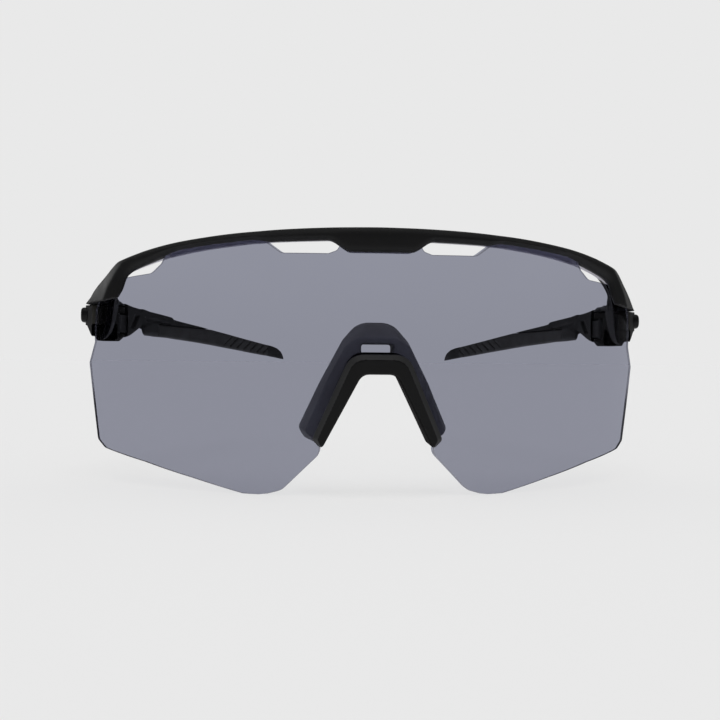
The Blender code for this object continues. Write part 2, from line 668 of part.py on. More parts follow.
NECK_HALF = 2.6
NECK_END = ARM_START + 1.2
NECK_PLAN = ((-NECK_HALF, 0), (NECK_HALF, 0),
             (NECK_HALF - 0.4, NECK_END), (-NECK_HALF - 0.5, NECK_END))

GRIP_START, GRIP_END = 25.0, 106.0
GRIP_FULL = 63.0            # from here on the grip reaches the top of the arm
GRIP_TOP_AT_START = 9.3     # upper edge of the grip where it starts
GRIP_RISING = (30, 38, 45, 55)      # stations before GRIP_FULL
GRIP_LEVEL = (70, 78, 86, 95)       # stations after it
GRIP_CHAMFER = 0.5
BED_GAP = 0.25              # clearance between the grip and its bed in the arm
BED_OVER = 1.5              # bed cutter beyond the arm's faces


def arm_point(distance, outwards, z):
    """A point at a distance behind the hinge, moved outwards from the centre line."""
    growth = ARM_SLOPE_TIP - ARM_SLOPE_ROOT
    centre_x = -(ARM_SLOPE_ROOT * distance + growth * distance * distance / (2 * ARM_LENGTH))
    angle = math.atan(ARM_SLOPE_ROOT + growth * distance / ARM_LENGTH)
    return Vector((centre_x + outwards * math.cos(angle),
                   distance + outwards * math.sin(angle), z))


def arm_half(distance):
    return ARM_HALF_ROOT + (ARM_HALF_TIP - ARM_HALF_ROOT) * distance / ARM_LENGTH


def arm_ring(distance):
    top = read_table(ARM_PROFILE, distance, 1)
    inner_low = read_table(ARM_PROFILE, distance, 2)
    half = arm_half(distance)
    if distance > TIP_START:
        ellipse = math.sqrt(max(0.0, 1 - ((distance - TIP_START) / TIP_TAPER) ** 2))
        half *= max(TIP_MIN_SHARE, ellipse)
    outer_low = max(inner_low + 0.02, read_table(ARM_UNDERSIDE, distance))
    widest_lip = 0.85 * half - 0.3 if distance > ARM_LIP_START else 1.5 * half
    lip = min(read_table(ARM_LIP, distance), widest_lip)
    # chamfers of the inner top, the lip and the outer face
    chamfer = min(ARM_CHAMFER, 0.28 * (top - inner_low), 0.45 * half)
    lip_chamfer = min(chamfer, 0.4 * lip)
    outer_chamfer = min(chamfer, 0.4 * (top - outer_low))
    # outwards from the centre line, height
    section = (
        (-half, inner_low + lip_chamfer), (-half, top - chamfer),
        (-half + chamfer, top), (half - chamfer, top),
        (half, top - outer_chamfer), (half, outer_low + outer_chamfer),
        (half - outer_chamfer, outer_low), (-half + lip + 0.2, outer_low),
        (-half + lip, inner_low), (-half + lip_chamfer, inner_low))
    return [arm_point(distance, outwards, z) for outwards, z in section]


def grip_limits(distance, gap=0.0, over=0.0):
    """Inner, outer, low and top limits of the grip; gap grows it towards the arm, over
    grows it out of the arm's faces."""
    half = arm_half(distance)
    top = read_table(ARM_PROFILE, distance, 1) + over
    if distance <= GRIP_FULL:
        share = (distance - GRIP_START) / (GRIP_FULL - GRIP_START)
        full_top = read_table(ARM_PROFILE, GRIP_FULL, 1)
        edge = GRIP_TOP_AT_START + (full_top - GRIP_TOP_AT_START) * share
        top = min(edge + gap, top)
    low = read_table(ARM_PROFILE, distance, 2) - over
    return -half - over, -0.15 * half + gap, low, top


def grip_ring(distance):
    inner, outer, low, top = grip_limits(distance)
    section = (
        (inner, low + GRIP_CHAMFER), (inner, top - GRIP_CHAMFER), (inner + GRIP_CHAMFER, top),
        (outer, top), (outer, low), (inner + GRIP_CHAMFER, low))
    return [arm_point(distance, outwards, z) for outwards, z in section]


def bed_ring(distance):
    inner, outer, low, top = grip_limits(distance, BED_GAP, BED_OVER)
    section = ((inner, low), (inner, top), (outer, top), (outer, low))
    return [arm_point(distance, outwards, z) for outwards, z in section]


def build_arms():
    arm = loft("temple_arm_right", [arm_ring(row[0]) for row in ARM_PROFILE])
    arm = join(arm, solid_along_z("neck", NECK_PLAN, KNUCKLE_LOW, KNUCKLE_HIGH))
    arm = join(arm, cylinder("knuckle", 0, 0, KNUCKLE_LOW, KNUCKLE_HIGH, KNUCKLE_R, 32))
    arm = cut(arm, cylinder("bore", 0, 0, 4, 13, BUSH_R + 0.04, 20))
    # two close stations, because the bed's top jumps up where the grip becomes full height
    bed_stations = (GRIP_START - BED_GAP, *GRIP_RISING, GRIP_FULL - 0.01,
                    GRIP_FULL + 0.01, *GRIP_LEVEL, GRIP_END + BED_GAP)
    arm = cut(arm, loft("bed", [bed_ring(distance) for distance in bed_stations], cutters))
    finish_pair(arm, frame_mat, pivots, 35)


def build_grips():
    stations = (GRIP_START, *GRIP_RISING, GRIP_FULL, *GRIP_LEVEL, GRIP_END)
    grip = loft("temple_grip_right", [grip_ring(distance) for distance in stations])
    finish_pair(grip, grip_mat, pivots, 35)


# ----------------------------------------------------------------------------
# Nosepiece: a channelled clip on the lens edge, and the soft saddle behind it
# ----------------------------------------------------------------------------
# left half of the clip: arc length, height, corner radius
CLIP_HALF = ((-6.1, 1.3, 4.6), (-14.1, -17.1, 1.0), (-12.0, -19.3, 0.9), (-3.6, -3.0, 2.6))
CLIP_FRONT, CLIP_REAR = -2.4, 3.3   # depths behind the lens' front surface
CLIP_STEP = 3.0

# left halves of the pad's front and rear outlines: x, z, corner radius
PAD_FRONT_HALF = (
    (-4.2, 4.9, 4.0), (-7.1, 3.0, 3.0), (-11.2, -5.0, 5.0),
    (-15.7, -16.0, 1.2), (-12.3, -19.0, 0.8), (-4.2, SADDLE_Z, 2.0))
PAD_REAR_HALF = (
    (-3.9, 8.5, 8.4), (-7.3, 4.5, 4.0), (-12.4, -5.2, 6.0),
    (-17.1, -15.4, 1.6), (-15.2, -18.6, 1.0), (-5.0, SADDLE_Z, 2.0))
PAD_FACE = 3.65             # depth of the pad's front face behind the lens' front surface
PAD_DEPTH = 8.5
PAD_WINDOW = rounded_rectangle(-3.6, 3.6, 1.35, 3.45, radius=0.5, arc=2)


def build_clip():
    clip = bent_sheet("nosepiece_clip", rounded(with_mirror(CLIP_HALF)),
                      CLIP_FRONT, CLIP_REAR, parts, CLIP_STEP)
    clip = cut(clip, lens_groove("channel"))
    finish(clip, clip_mat, datum)


def pad_ring(share):
    """Ring of the pad at a share of the way from its front to its rear outline."""
    front, rear = rounded(with_mirror(PAD_FRONT_HALF)), rounded(with_mirror(PAD_REAR_HALF))
    return [Vector((x0 + (x1 - x0) * share,
                    lens_point(x0, z0, PAD_FACE).y + PAD_DEPTH * share,
                    z0 + (z1 - z0) * share))
            for (x0, z0), (x1, z1) in zip(front, rear)]


def build_pad():
    pad = loft("nose_pad", [pad_ring(share) for share in (0.0, 0.5, 1.0)], arch=True)
    pad = cut(pad, solid_along_y("window", PAD_WINDOW, -5, 30))
    finish(pad, pad_mat, datum, 35)


# ----------------------------------------------------------------------------
# Build
# ----------------------------------------------------------------------------
build_lens()
build_frame()
build_hinge_blocks()
build_hinge_caps()
build_screws()
build_hinge_rings()
build_arms()
build_grips()
build_clip()
build_pad()
bpy.context.view_layer.update()
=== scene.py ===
"""Wraparound sport sunglasses: a clear shield lens in a black brow frame, with two folding arms.

Every piece is modelled in a design datum in millimetres (X across, Y backwards from the
front of the lens, Z up) and moved by TO_WORLD into the row frame in metres, whose place is
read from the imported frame. The wearer looks towards -Y; "right" is the +X side.
"""
import json
import math
from functools import cached_property

import bmesh
import bpy
from mathutils import Matrix, Vector


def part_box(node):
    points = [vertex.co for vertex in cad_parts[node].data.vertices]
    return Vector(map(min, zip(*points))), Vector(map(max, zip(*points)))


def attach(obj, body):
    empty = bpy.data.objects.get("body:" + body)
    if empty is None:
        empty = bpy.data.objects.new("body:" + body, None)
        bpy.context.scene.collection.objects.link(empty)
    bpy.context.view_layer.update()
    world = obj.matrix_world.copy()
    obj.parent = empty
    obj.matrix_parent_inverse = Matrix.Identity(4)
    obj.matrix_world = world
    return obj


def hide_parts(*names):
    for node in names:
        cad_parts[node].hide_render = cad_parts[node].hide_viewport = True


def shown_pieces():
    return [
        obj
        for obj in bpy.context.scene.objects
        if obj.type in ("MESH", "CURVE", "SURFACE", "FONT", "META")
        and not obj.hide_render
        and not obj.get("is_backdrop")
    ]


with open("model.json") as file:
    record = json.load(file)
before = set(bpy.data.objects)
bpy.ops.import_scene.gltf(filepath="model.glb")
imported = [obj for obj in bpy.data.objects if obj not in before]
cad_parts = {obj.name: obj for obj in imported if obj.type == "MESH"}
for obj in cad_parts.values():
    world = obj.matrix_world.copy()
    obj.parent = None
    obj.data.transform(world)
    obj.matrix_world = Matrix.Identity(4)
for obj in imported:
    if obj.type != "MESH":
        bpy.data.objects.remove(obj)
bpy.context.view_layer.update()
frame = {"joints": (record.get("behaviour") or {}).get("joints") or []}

# ----------------------------------------------------------------------------
# Datum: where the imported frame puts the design
# ----------------------------------------------------------------------------
AXIS_RIGHT = Vector(next(joint["pos_m"] for joint in frame["joints"]
                         if joint["name"] == "temple_right_fold")) * 1000
HINGE_X, HINGE_Y = AXIS_RIGHT.x, 44.0
FOOT_Z = -30.0                              # lowest point of the lens, resting on the floor
BACK = HINGE_Y - AXIS_RIGHT.y
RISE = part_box("shield_lens")[0].z * 1000 - FOOT_Z
TO_WORLD = Matrix.Scale(0.001, 4) @ Matrix.Translation((0, -BACK, RISE))
TO_DATUM = TO_WORLD.inverted()
SWING = {"left": -11.3, "right": 1.7}       # degrees of each arm at rest from fully open

# ----------------------------------------------------------------------------
# Dimensions shared between pieces, in millimetres and degrees
# ----------------------------------------------------------------------------
LENS_RADIUS, LENS_THICKNESS = 82.0, 2.0
LENS_LEAN, LENS_LEAN_CURVE = -0.12, 0.001   # Y per Z, and its change with height
GROOVE_GAP = 0.30                           # play round the lens in frame and clip
KNUCKLE_R, KNUCKLE_LOW, KNUCKLE_HIGH = 2.9, 6.5, 10.9
BLOCK_LOW, BLOCK_HIGH = 4.2, 12.85
SLOT_LOW, SLOT_HIGH = 6.1, 11.3
SCREW_R, SCREW_HEAD_R, BUSH_R, NUT_R = 0.9, 1.7, 1.6, 1.9


# ----------------------------------------------------------------------------
# Numbers and outlines
# ----------------------------------------------------------------------------
def table(rows, x, column=1):
    """Straight-line reading of a column at x."""
    if x <= rows[0][0]:
        return rows[0][column]
    for before, after in zip(rows, rows[1:]):
        if x <= after[0]:
            part = (x - before[0]) / (after[0] - before[0])
            return before[column] + (after[column] - before[column]) * part
    return rows[-1][column]


def soft_table(rows, x, reach, column=1, even=False):
    """The table read through a small window, which rounds its corners."""
    total = weights = 0.0
    for i in range(-5, 6):
        offset = i / 5
        weight = 1.0 - 0.8 * abs(offset)
        at = x + offset * reach
        total += weight * table(rows, abs(at) if even else at, column)
        weights += weight
    return total / weights


def step(x, start, end):
    """Smooth 0 to 1 between start and end."""
    part = min(1.0, max(0.0, (x - start) / (end - start)))
    return part * part * (3 - 2 * part)


def bezier(start, mid, end, part):
    return start * (1 - part) ** 2 + mid * (2 * part * (1 - part)) + end * part * part


def catmull(p0, p1, p2, p3, part):
    return 0.5 * ((2 * p1) + (p2 - p0) * part + (2 * p0 - 5 * p1 + 4 * p2 - p3) * part * part
                  + (3 * p1 - p0 - 3 * p2 + p3) * part ** 3)


def lens_normal(angle, z):
    """Backward normal of the lens surface."""
    slope = LENS_LEAN + 2 * LENS_LEAN_CURVE * z
    return Vector((-math.sin(angle), math.cos(angle), -math.cos(angle) * slope)).normalized()


def lens_point(along, z, depth):
    """Point at an arc length and height on the lens front, moved depth behind it."""
    angle = along / LENS_RADIUS
    lean = LENS_LEAN * z + LENS_LEAN_CURVE * z * z
    surface = Vector((LENS_RADIUS * math.sin(angle),
                      LENS_RADIUS * (1 - math.cos(angle)) + lean, z))
    return surface + lens_normal(angle, z) * depth


def sheet_coords(point):
    """Arc length, depth behind the lens front and level forward direction at a point."""
    inward = LENS_RADIUS - point.y + LENS_LEAN * point.z + LENS_LEAN_CURVE * point.z ** 2
    angle = math.atan2(point.x, inward)
    depth = LENS_RADIUS - math.hypot(point.x, inward)
    return angle * LENS_RADIUS, depth, Vector((math.sin(angle), -math.cos(angle), 0))


def rounded(corners, arc=5):
    """Outline of (x, y, radius) corners with each corner blended in arc steps."""
    out = []
    count = len(corners)
    for i, (x, y, radius) in enumerate(corners):
        corner = Vector((x, y))
        before = Vector(corners[i - 1][:2]) - corner
        after = Vector(corners[(i + 1) % count][:2]) - corner
        if radius <= 0 or before.length < 1e-9 or after.length < 1e-9:
            out.append((x, y))
            continue
        half = before.angle(after) / 2
        if half > math.pi / 2 - 0.02:
            out.append((x, y))
            continue
        reach = min(radius / math.tan(half), 0.48 * before.length, 0.48 * after.length)
        start = corner + before.normalized() * reach
        end = corner + after.normalized() * reach
        out += [tuple(bezier(start, corner, end, k / arc)) for k in range(arc + 1)]
    return out


def round_ring(points, reaches, arc=4):
    """A closed ring in space whose corners are blended within the given reaches."""
    out = []
    for i, point in enumerate(points):
        ends = []
        for side in (points[i - 1] - point, points[(i + 1) % len(points)] - point):
            reach = min(reaches[i], 0.46 * side.length)
            ends.append(point + (side.normalized() * reach if side.length > 1e-6 else side))
        out += [bezier(ends[0], point, ends[1], k / arc) for k in range(arc + 1)]
    return out


def widened(outline, gap):
    """The outline moved outwards by gap, or inwards where gap is negative."""
    count = len(outline)
    area = sum(outline[i - 1][0] * outline[i][1] - outline[i][0] * outline[i - 1][1]
               for i in range(count))
    sign = 1.0 if area > 0 else -1.0
    out = []
    for i in range(count):
        point = Vector(outline[i])
        before = (point - Vector(outline[i - 1])).normalized()
        after = (Vector(outline[(i + 1) % count]) - point).normalized()
        out_before = Vector((before.y, -before.x)) * sign
        out_after = Vector((after.y, -after.x)) * sign
        mitre = out_before + out_after
        if mitre.length > 1e-6:
            half = out_before.angle(out_after, 0.0) / 2
            mitre = mitre.normalized() / max(0.5, math.cos(half))
        else:
            mitre = out_before
        out.append(tuple(point + mitre * gap))
    return out


def symmetric(half):
    """(x, z, radius) corners of one side, followed by their mirror image."""
    return [*half, *((-x, z, radius) for x, z, radius in reversed(half))]


def rectangle(half_width, low, high, radius):
    return [(-half_width, low, radius), (half_width, low, radius),
            (half_width, high, radius), (-half_width, high, radius)]


def flipped(outline, sign):
    return [(sign * x, y) for x, y in outline]


def in_polygon(x, y, poly):
    inside = False
    for i in range(len(poly)):
        x1, y1 = poly[i - 1]
        x2, y2 = poly[i]
        if (y1 > y) != (y2 > y) and x < (x2 - x1) * (y - y1) / (y2 - y1) + x1:
            inside = not inside
    return inside


def depth_in(x, y, poly):
    """Distance to the polygon's edge, positive inside."""
    best = 1e9
    point = Vector((x, y))
    for i in range(len(poly)):
        start = Vector(poly[i - 1])
        edge = Vector(poly[i]) - start
        part = min(1.0, max(0.0, (point - start).dot(edge) / max(edge.length_squared, 1e-12)))
        best = min(best, (point - start - edge * part).length)
    return best if in_polygon(x, y, poly) else -best


# ----------------------------------------------------------------------------
# Solids, all in millimetres until place()
# ----------------------------------------------------------------------------
TO_Y = Matrix.Rotation(math.radians(90), 4, "X")    # (x, z, h) to (x, -h, z)
TO_X = Matrix(((0, 0, 1, 0), (1, 0, 0, 0), (0, 1, 0, 0), (0, 0, 0, 1)))   # (y, z, h) to (h, y, z)


def link_mesh(name, mesh):
    obj = bpy.data.objects.new(name, mesh)
    bpy.context.scene.collection.objects.link(obj)
    return obj


def make(name, shape):
    bmesh.ops.remove_doubles(shape, verts=shape.verts, dist=1e-5)
    bmesh.ops.recalc_face_normals(shape, faces=shape.faces)
    mesh = bpy.data.meshes.new(name)
    shape.to_mesh(mesh)
    shape.free()
    return link_mesh(name, mesh)


def baked(obj):
    """The object's modifiers applied; the source goes away."""
    bpy.context.view_layer.update()
    graph = bpy.context.evaluated_depsgraph_get()
    mesh = bpy.data.meshes.new_from_object(obj.evaluated_get(graph), depsgraph=graph)
    name = obj.name
    bpy.data.objects.remove(obj, do_unlink=True)
    mesh.name = name
    return link_mesh(name, mesh)


def combine(target, tool, operation):
    modifier = target.modifiers.new("combine", "BOOLEAN")
    modifier.operation = operation
    modifier.solver = "EXACT"
    modifier.object = tool
    done = baked(target)
    bpy.data.objects.remove(tool, do_unlink=True)
    return done


def cut(target, tool):
    return combine(target, tool, "DIFFERENCE")


def join(target, tool):
    return combine(target, tool, "UNION")


def moulded(obj, voxel, rounds):
    """Even quads over the whole solid, with every edge softened as a mould would."""
    even = obj.modifiers.new("even", "REMESH")
    even.mode = "VOXEL"
    even.voxel_size = voxel
    even.use_smooth_shade = True
    soft = obj.modifiers.new("soften", "SMOOTH")
    soft.factor = 0.5
    soft.iterations = rounds
    return baked(obj)


def ring_verts(shape, rings):
    return [[shape.verts.new(point) for point in ring] for ring in rings]


def bridge(shape, rings):
    """Quads between neighbouring rings of vertices."""
    for first, second in zip(rings, rings[1:]):
        for i in range(len(first)):
            j = (i + 1) % len(first)
            shape.faces.new((first[i], first[j], second[j], second[i]))


def triangulate_large(shape, **options):
    large = [face for face in shape.faces if len(face.verts) > 4]
    bmesh.ops.triangulate(shape, faces=large, **options)


def prism(name, outline, low, high, turn=None):
    """A flat outline in XY from height low to height high, then turned."""
    shape = bmesh.new()
    rings = ring_verts(shape, [[(x, y, z) for x, y in outline] for z in (low, high)])
    shape.faces.new(rings[0])
    shape.faces.new(rings[1])
    bridge(shape, rings)
    obj = make(name, shape)
    if turn is not None:
        obj.data.transform(turn)
    return obj


def prism_y(name, outline, front, back):
    """An (x, z) outline extruded along Y."""
    return prism(name, outline, -back, -front, TO_Y)


def rod(name, x, y, low, high, radius, segments=48):
    shape = bmesh.new()
    bmesh.ops.create_cone(shape, cap_ends=True, segments=segments, radius1=radius,
                          radius2=radius, depth=high - low)
    bmesh.ops.translate(shape, verts=shape.verts, vec=(x, y, (low + high) / 2))
    return make(name, shape)


def turned(name, profile, x, y, segments=48):
    """A closed profile (radius, height) turned about a vertical axis at x, y."""
    shape = bmesh.new()
    rings = []
    for k in range(segments):
        angle = math.tau * k / segments
        rings.append([shape.verts.new((x + radius * math.cos(angle),
                                       y + radius * math.sin(angle), z))
                      for radius, z in profile])
    for k in range(segments):
        first, second = rings[k], rings[(k + 1) % segments]
        for i in range(len(profile)):
            j = (i + 1) % len(profile)
            shape.faces.new((first[i], second[i], second[j], first[j]))
    return make(name, shape)


def loft(name, rings):
    """A skin over rings of points, closed at both ends."""
    shape = bmesh.new()
    grid = ring_verts(shape, rings)
    bridge(shape, grid)
    for end in (grid[0], grid[-1]):
        bmesh.ops.triangulate(shape, faces=[shape.faces.new(end)])
    return make(name, shape)


def formed_sheet(name, layers, step_along=1.5, step_up=3.0):
    """Stacked (outline, depth) layers, gridded while flat and then formed to the lens curve."""
    shape = bmesh.new()
    rings = ring_verts(shape, [[(x, z, depth) for x, z in outline] for outline, depth in layers])
    shape.faces.new(rings[0])
    shape.faces.new(rings[-1])
    bridge(shape, rings)
    for axis, pitch in ((0, step_along), (1, step_up)):
        places = [point[axis] for outline, _ in layers for point in outline]
        low, high = min(places), max(places)
        normal = Vector((1 - axis, axis, 0))
        count = max(1, round((high - low) / pitch))
        for k in range(1, count):
            bmesh.ops.bisect_plane(
                shape, geom=shape.verts[:] + shape.edges[:] + shape.faces[:], dist=1e-6,
                plane_co=normal * (low + (high - low) * k / count), plane_no=normal)
    bmesh.ops.remove_doubles(shape, verts=shape.verts, dist=1e-4)
    triangulate_large(shape, ngon_method="BEAUTY")
    for vert in shape.verts:
        vert.co = lens_point(*vert.co)
    return make(name, shape)


# ----------------------------------------------------------------------------
# Handing pieces over
# ----------------------------------------------------------------------------
def place(obj, name, node, slot, *materials, body="front", local=None, sharp=40.0):
    """Moves a finished mesh into the row frame and hands it to its body."""
    obj.data.transform(TO_WORLD @ local if local is not None else TO_WORLD)
    obj.name = obj.data.name = name
    obj.data.materials.clear()
    for material in materials:
        obj.data.materials.append(material)
    obj.data.shade_smooth()
    if sharp:
        obj.data.set_sharp_from_angle(angle=math.radians(sharp))
    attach(obj, body)
    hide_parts(node)


def mirrored(obj):
    mesh = obj.data.copy()
    mesh.transform(Matrix.Scale(-1, 4, (1, 0, 0)))
    mesh.flip_normals()
    return link_mesh(obj.name, mesh)


def arm_local(side):
    """From arm space, with the hinge axis at its origin, to the datum."""
    sign = 1 if side == "right" else -1
    return (Matrix.Translation((sign * HINGE_X, HINGE_Y, 0))
            @ Matrix.Rotation(math.radians(SWING[side]), 4, "Z"))


def place_pair(obj, stem, ending, slot, *materials, moving=False, sharp=40.0):
    """Places a right-hand piece and its mirror image; moving pieces ride the arms."""
    pair = (obj, mirrored(obj))
    for piece, side in zip(pair, ("right", "left")):
        place(piece, f"{stem}_{side}_{ending}", f"{stem}_{side}", slot, *materials,
              body="temple_" + side if moving else "front",
              local=arm_local(side) if moving else None, sharp=sharp)
    return pair


# ----------------------------------------------------------------------------
# Materials, all node based, drawn in object space in metres
# ----------------------------------------------------------------------------
class Tree:
    """Short hand for wiring a node tree: inputs take numbers, RGB tuples or sockets."""

    def __init__(self, tree):
        self.tree = tree

    def link(self, source, target):
        self.tree.links.new(source, target)

    def put(self, socket, value):
        if isinstance(value, (int, float)):
            socket.default_value = value
        elif isinstance(value, tuple):
            socket.default_value = (*value, 1.0)
        else:
            self.link(value, socket)

    def feed(self, sockets, *values):
        for socket, value in zip(sockets, values):
            self.put(socket, value)

    def add(self, kind, **values):
        node = self.tree.nodes.new(kind)
        for key, value in values.items():
            if key in node.inputs:
                self.put(node.inputs[key], value)
            else:
                setattr(node, key, value)
        return node

    def remap(self, value, span, to=(0.0, 1.0), kind="LINEAR"):
        node = self.add("ShaderNodeMapRange", interpolation_type=kind)
        self.feed(node.inputs, value, *span, *to)
        return node.outputs["Result"]

    def math(self, operation, first, second=0.5):
        node = self.add("ShaderNodeMath", operation=operation)
        self.feed(node.inputs, first, second)
        return node.outputs["Value"]

    def dot(self, first, second):
        node = self.add("ShaderNodeVectorMath", operation="DOT_PRODUCT")
        self.feed(node.inputs, first, second)
        return node.outputs["Value"]

    def split(self, vector):
        return self.add("ShaderNodeSeparateXYZ", Vector=vector).outputs

    def mix_shader(self, factor, first, second):
        node = self.add("ShaderNodeMixShader")
        self.feed(node.inputs, factor, first, second)
        return node.outputs[0]


class Material(Tree):
    """A new material with its principled shader ready."""

    def __init__(self, name):
        self.data = bpy.data.materials.new(name)
        self.data.use_nodes = True
        super().__init__(self.data.node_tree)
        self.bsdf = self.tree.nodes["Principled BSDF"]

    @cached_property
    def coord(self):
        return self.add("ShaderNodeTexCoord").outputs["Object"]

    def noise(self, scale, detail=3.0, rough=0.55, stretch=None):
        vector = self.coord
        if stretch:
            mapping = self.add("ShaderNodeMapping", Vector=vector)
            mapping.inputs["Scale"].default_value = stretch
            vector = mapping.outputs["Vector"]
        return self.add("ShaderNodeTexNoise", Scale=scale, Detail=detail, Roughness=rough,
                        Vector=vector).outputs["Fac"]

    def blend(self, factor, first, second):
        node = self.add("ShaderNodeMix", data_type="RGBA")
        self.feed([node.inputs[i] for i in (0, 6, 7)], factor, first, second)
        return node.outputs[2]

    def bump(self, height, strength, distance, normal=None):
        node = self.add("ShaderNodeBump", Strength=strength, Distance=distance, Height=height)
        if normal is not None:
            self.link(normal, node.inputs["Normal"])
        return node.outputs["Normal"]

    def edge(self):
        """1 along rounded or sharp edges, 0 on open faces."""
        bevel = self.add("ShaderNodeBevel", samples=3, Radius=0.0006)
        geometry = self.add("ShaderNodeNewGeometry")
        facing = self.dot(bevel.outputs["Normal"], geometry.outputs["Normal"])
        return self.remap(facing, span=(0.985, 0.93))

    def principled(self, inputs):
        for key, value in inputs.items():
            self.put(self.bsdf.inputs[key], value)
        return self.data

    def surface(self, shader):
        """Shows another shader in place of the principled one."""
        self.link(shader, self.tree.nodes["Material Output"].inputs["Surface"])
        self.tree.nodes.remove(self.bsdf)
        return self.data


def shade(colour, factor):
    return tuple(c * factor for c in colour)


def plastic(name, base, worn, rough=(0.46, 0.62), grain=0.22, spec=0.32, wear=0.35):
    """Moulded nylon: spark-eroded grain, cloudy sheen, edges rubbed slightly smooth."""
    nodes = Material(name)
    fine = nodes.noise(scale=2100.0, detail=2.0, rough=0.6)
    cloud = nodes.noise(scale=90.0, detail=3.0, rough=0.5)
    speck = nodes.noise(scale=800.0, detail=2.0, rough=0.5)
    patches = nodes.noise(scale=260.0, detail=3.0, rough=0.6)
    rub = nodes.math("MULTIPLY", nodes.edge(),
                     nodes.remap(patches, span=(0.35, 0.65), to=(0.15, 1.0)))
    colour = nodes.blend(nodes.remap(cloud, span=(0.3, 0.7)), base, shade(base, 1.22))
    colour = nodes.blend(nodes.remap(speck, span=(0.55, 0.75), to=(0.0, 0.35)),
                         colour, shade(base, 1.45))
    colour = nodes.blend(nodes.math("MULTIPLY", rub, wear), colour, worn)
    roughness = nodes.math("SUBTRACT", nodes.remap(cloud, span=(0.3, 0.7), to=rough),
                           nodes.math("MULTIPLY", rub, 0.10))
    relief = nodes.bump(fine, strength=grain * 0.5, distance=0.00004)
    relief = nodes.bump(speck, strength=grain * 0.4, distance=0.00006, normal=relief)
    return nodes.principled({"Base Color": colour, "Roughness": roughness,
                             "Specular IOR Level": spec, "Normal": relief})


def rubber(name, base, pale):
    """Soft moulded rubber: velvety sheen, powdery high spots and fine pores."""
    nodes = Material(name)
    fine = nodes.noise(scale=1700.0, detail=2.0, rough=0.6)
    cloud = nodes.noise(scale=140.0, detail=4.0, rough=0.6)
    pores = nodes.add("ShaderNodeTexVoronoi", Scale=1100.0,
                      Vector=nodes.coord).outputs["Distance"]
    colour = nodes.blend(nodes.remap(cloud, span=(0.35, 0.7)), base, pale)
    colour = nodes.blend(nodes.remap(pores, span=(0.0, 0.25), to=(0.5, 0.0)),
                         colour, shade(base, 0.55))
    relief = nodes.bump(fine, strength=0.12, distance=0.00005)
    relief = nodes.bump(pores, strength=0.08, distance=0.00004, normal=relief)
    return nodes.principled({
        "Base Color": colour,
        "Roughness": nodes.remap(cloud, span=(0.3, 0.7), to=(0.8, 0.62)),
        "Specular IOR Level": 0.25, "Sheen Weight": 0.12, "Sheen Roughness": 0.45,
        "Normal": relief})


def metal(name, base, rough, stretch):
    """Turned metal: fine lathe lines and slight tarnish."""
    nodes = Material(name)
    lines = nodes.noise(scale=2500.0, detail=2.0, rough=0.5, stretch=stretch)
    stain = nodes.noise(scale=900.0, detail=3.0, rough=0.6)
    colour = nodes.blend(nodes.remap(stain, span=(0.4, 0.75), to=(0.0, 0.6)),
                         base, shade(base, 0.7))
    roughness = nodes.remap(lines, span=(0.3, 0.7), to=(rough - 0.08, rough + 0.12))
    return nodes.principled({"Base Color": colour, "Metallic": 1.0, "Roughness": roughness,
                             "Normal": nodes.bump(lines, strength=0.3, distance=0.00003)})


def lens_material(name, tint):
    """Tinted clear sheet: light passes with a tint, painted slightly lighter towards the top as a
    painted reflection, under a faint hard-coat sheen.
    """
    nodes = Material(name)
    z = nodes.split(nodes.coord)["Z"]
    haze = nodes.noise(scale=35.0, detail=4.0, rough=0.6)
    smear = nodes.noise(scale=60.0, detail=5.0, rough=0.7, stretch=(0.35, 0.35, 1.6))
    # painted reflection: the tint is blended 4% lighter towards the top of the lens
    colour = nodes.blend(nodes.remap(z, span=(0.006, 0.030)), tint, shade(tint, 1.040))
    hazy = nodes.math("MULTIPLY", nodes.remap(haze, span=(0.3, 0.7)), 0.35)
    colour = nodes.blend(hazy, colour, shade(tint, 0.992))
    clear = nodes.add("ShaderNodeBsdfTransparent", Color=colour)
    shine = nodes.add("ShaderNodeBsdfGlossy", Color=(0.93, 0.93, 1.0),
                      Roughness=nodes.remap(smear, span=(0.4, 0.75), to=(0.035, 0.09)))
    # reflection by angle of view, on the outer skin only: the tint holds the inner losses
    geometry = nodes.add("ShaderNodeNewGeometry").outputs
    facing = nodes.math("ABSOLUTE", nodes.dot(geometry["Normal"], geometry["Incoming"]), 0.0)
    grazing = nodes.math("POWER", nodes.math("SUBTRACT", 1.0, facing), 8.0)
    weight = nodes.math("MULTIPLY", nodes.math("MULTIPLY", grazing, 0.38),
                        nodes.math("SUBTRACT", 1.0, geometry["Backfacing"]))
    nodes.data.diffuse_color = (0.35, 0.35, 0.4, 0.5)
    return nodes.surface(nodes.mix_shader(weight, clear.outputs[0], shine.outputs[0]))


def lens_edge_material(name):
    """Polished edge of the sheet: a painted light line over its clear edge, with painted shade low
    down at the outer ends.
    """
    nodes = Material(name)
    position = nodes.split(nodes.coord)
    # painted shade: the edge is darkened low down at the outer ends
    outer = nodes.remap(nodes.math("ABSOLUTE", position["X"], 0.0), span=(0.034, 0.052))
    low = nodes.remap(position["Z"], span=(-0.008, -0.002), to=(1.0, 0.0))
    dark = nodes.math("MULTIPLY", outer, low)
    clear = nodes.add("ShaderNodeBsdfTransparent",
                      Color=nodes.blend(dark, (0.50, 0.50, 0.55), (0.06, 0.06, 0.07)))
    # painted highlight: a pale diffuse layer makes the clear edge read as a light line
    painted_rim_light = nodes.add("ShaderNodeBsdfDiffuse",
                     Color=nodes.blend(dark, (0.25, 0.25, 0.28), (0.01, 0.01, 0.012)))
    shine = nodes.add("ShaderNodeBsdfGlossy",
                      Roughness=nodes.remap(nodes.noise(scale=1200.0), span=(0.3, 0.7),
                                            to=(0.12, 0.3)))
    body = nodes.mix_shader(0.35, clear.outputs[0], painted_rim_light.outputs[0])
    return nodes.surface(nodes.mix_shader(0.08, body, shine.outputs[0]))


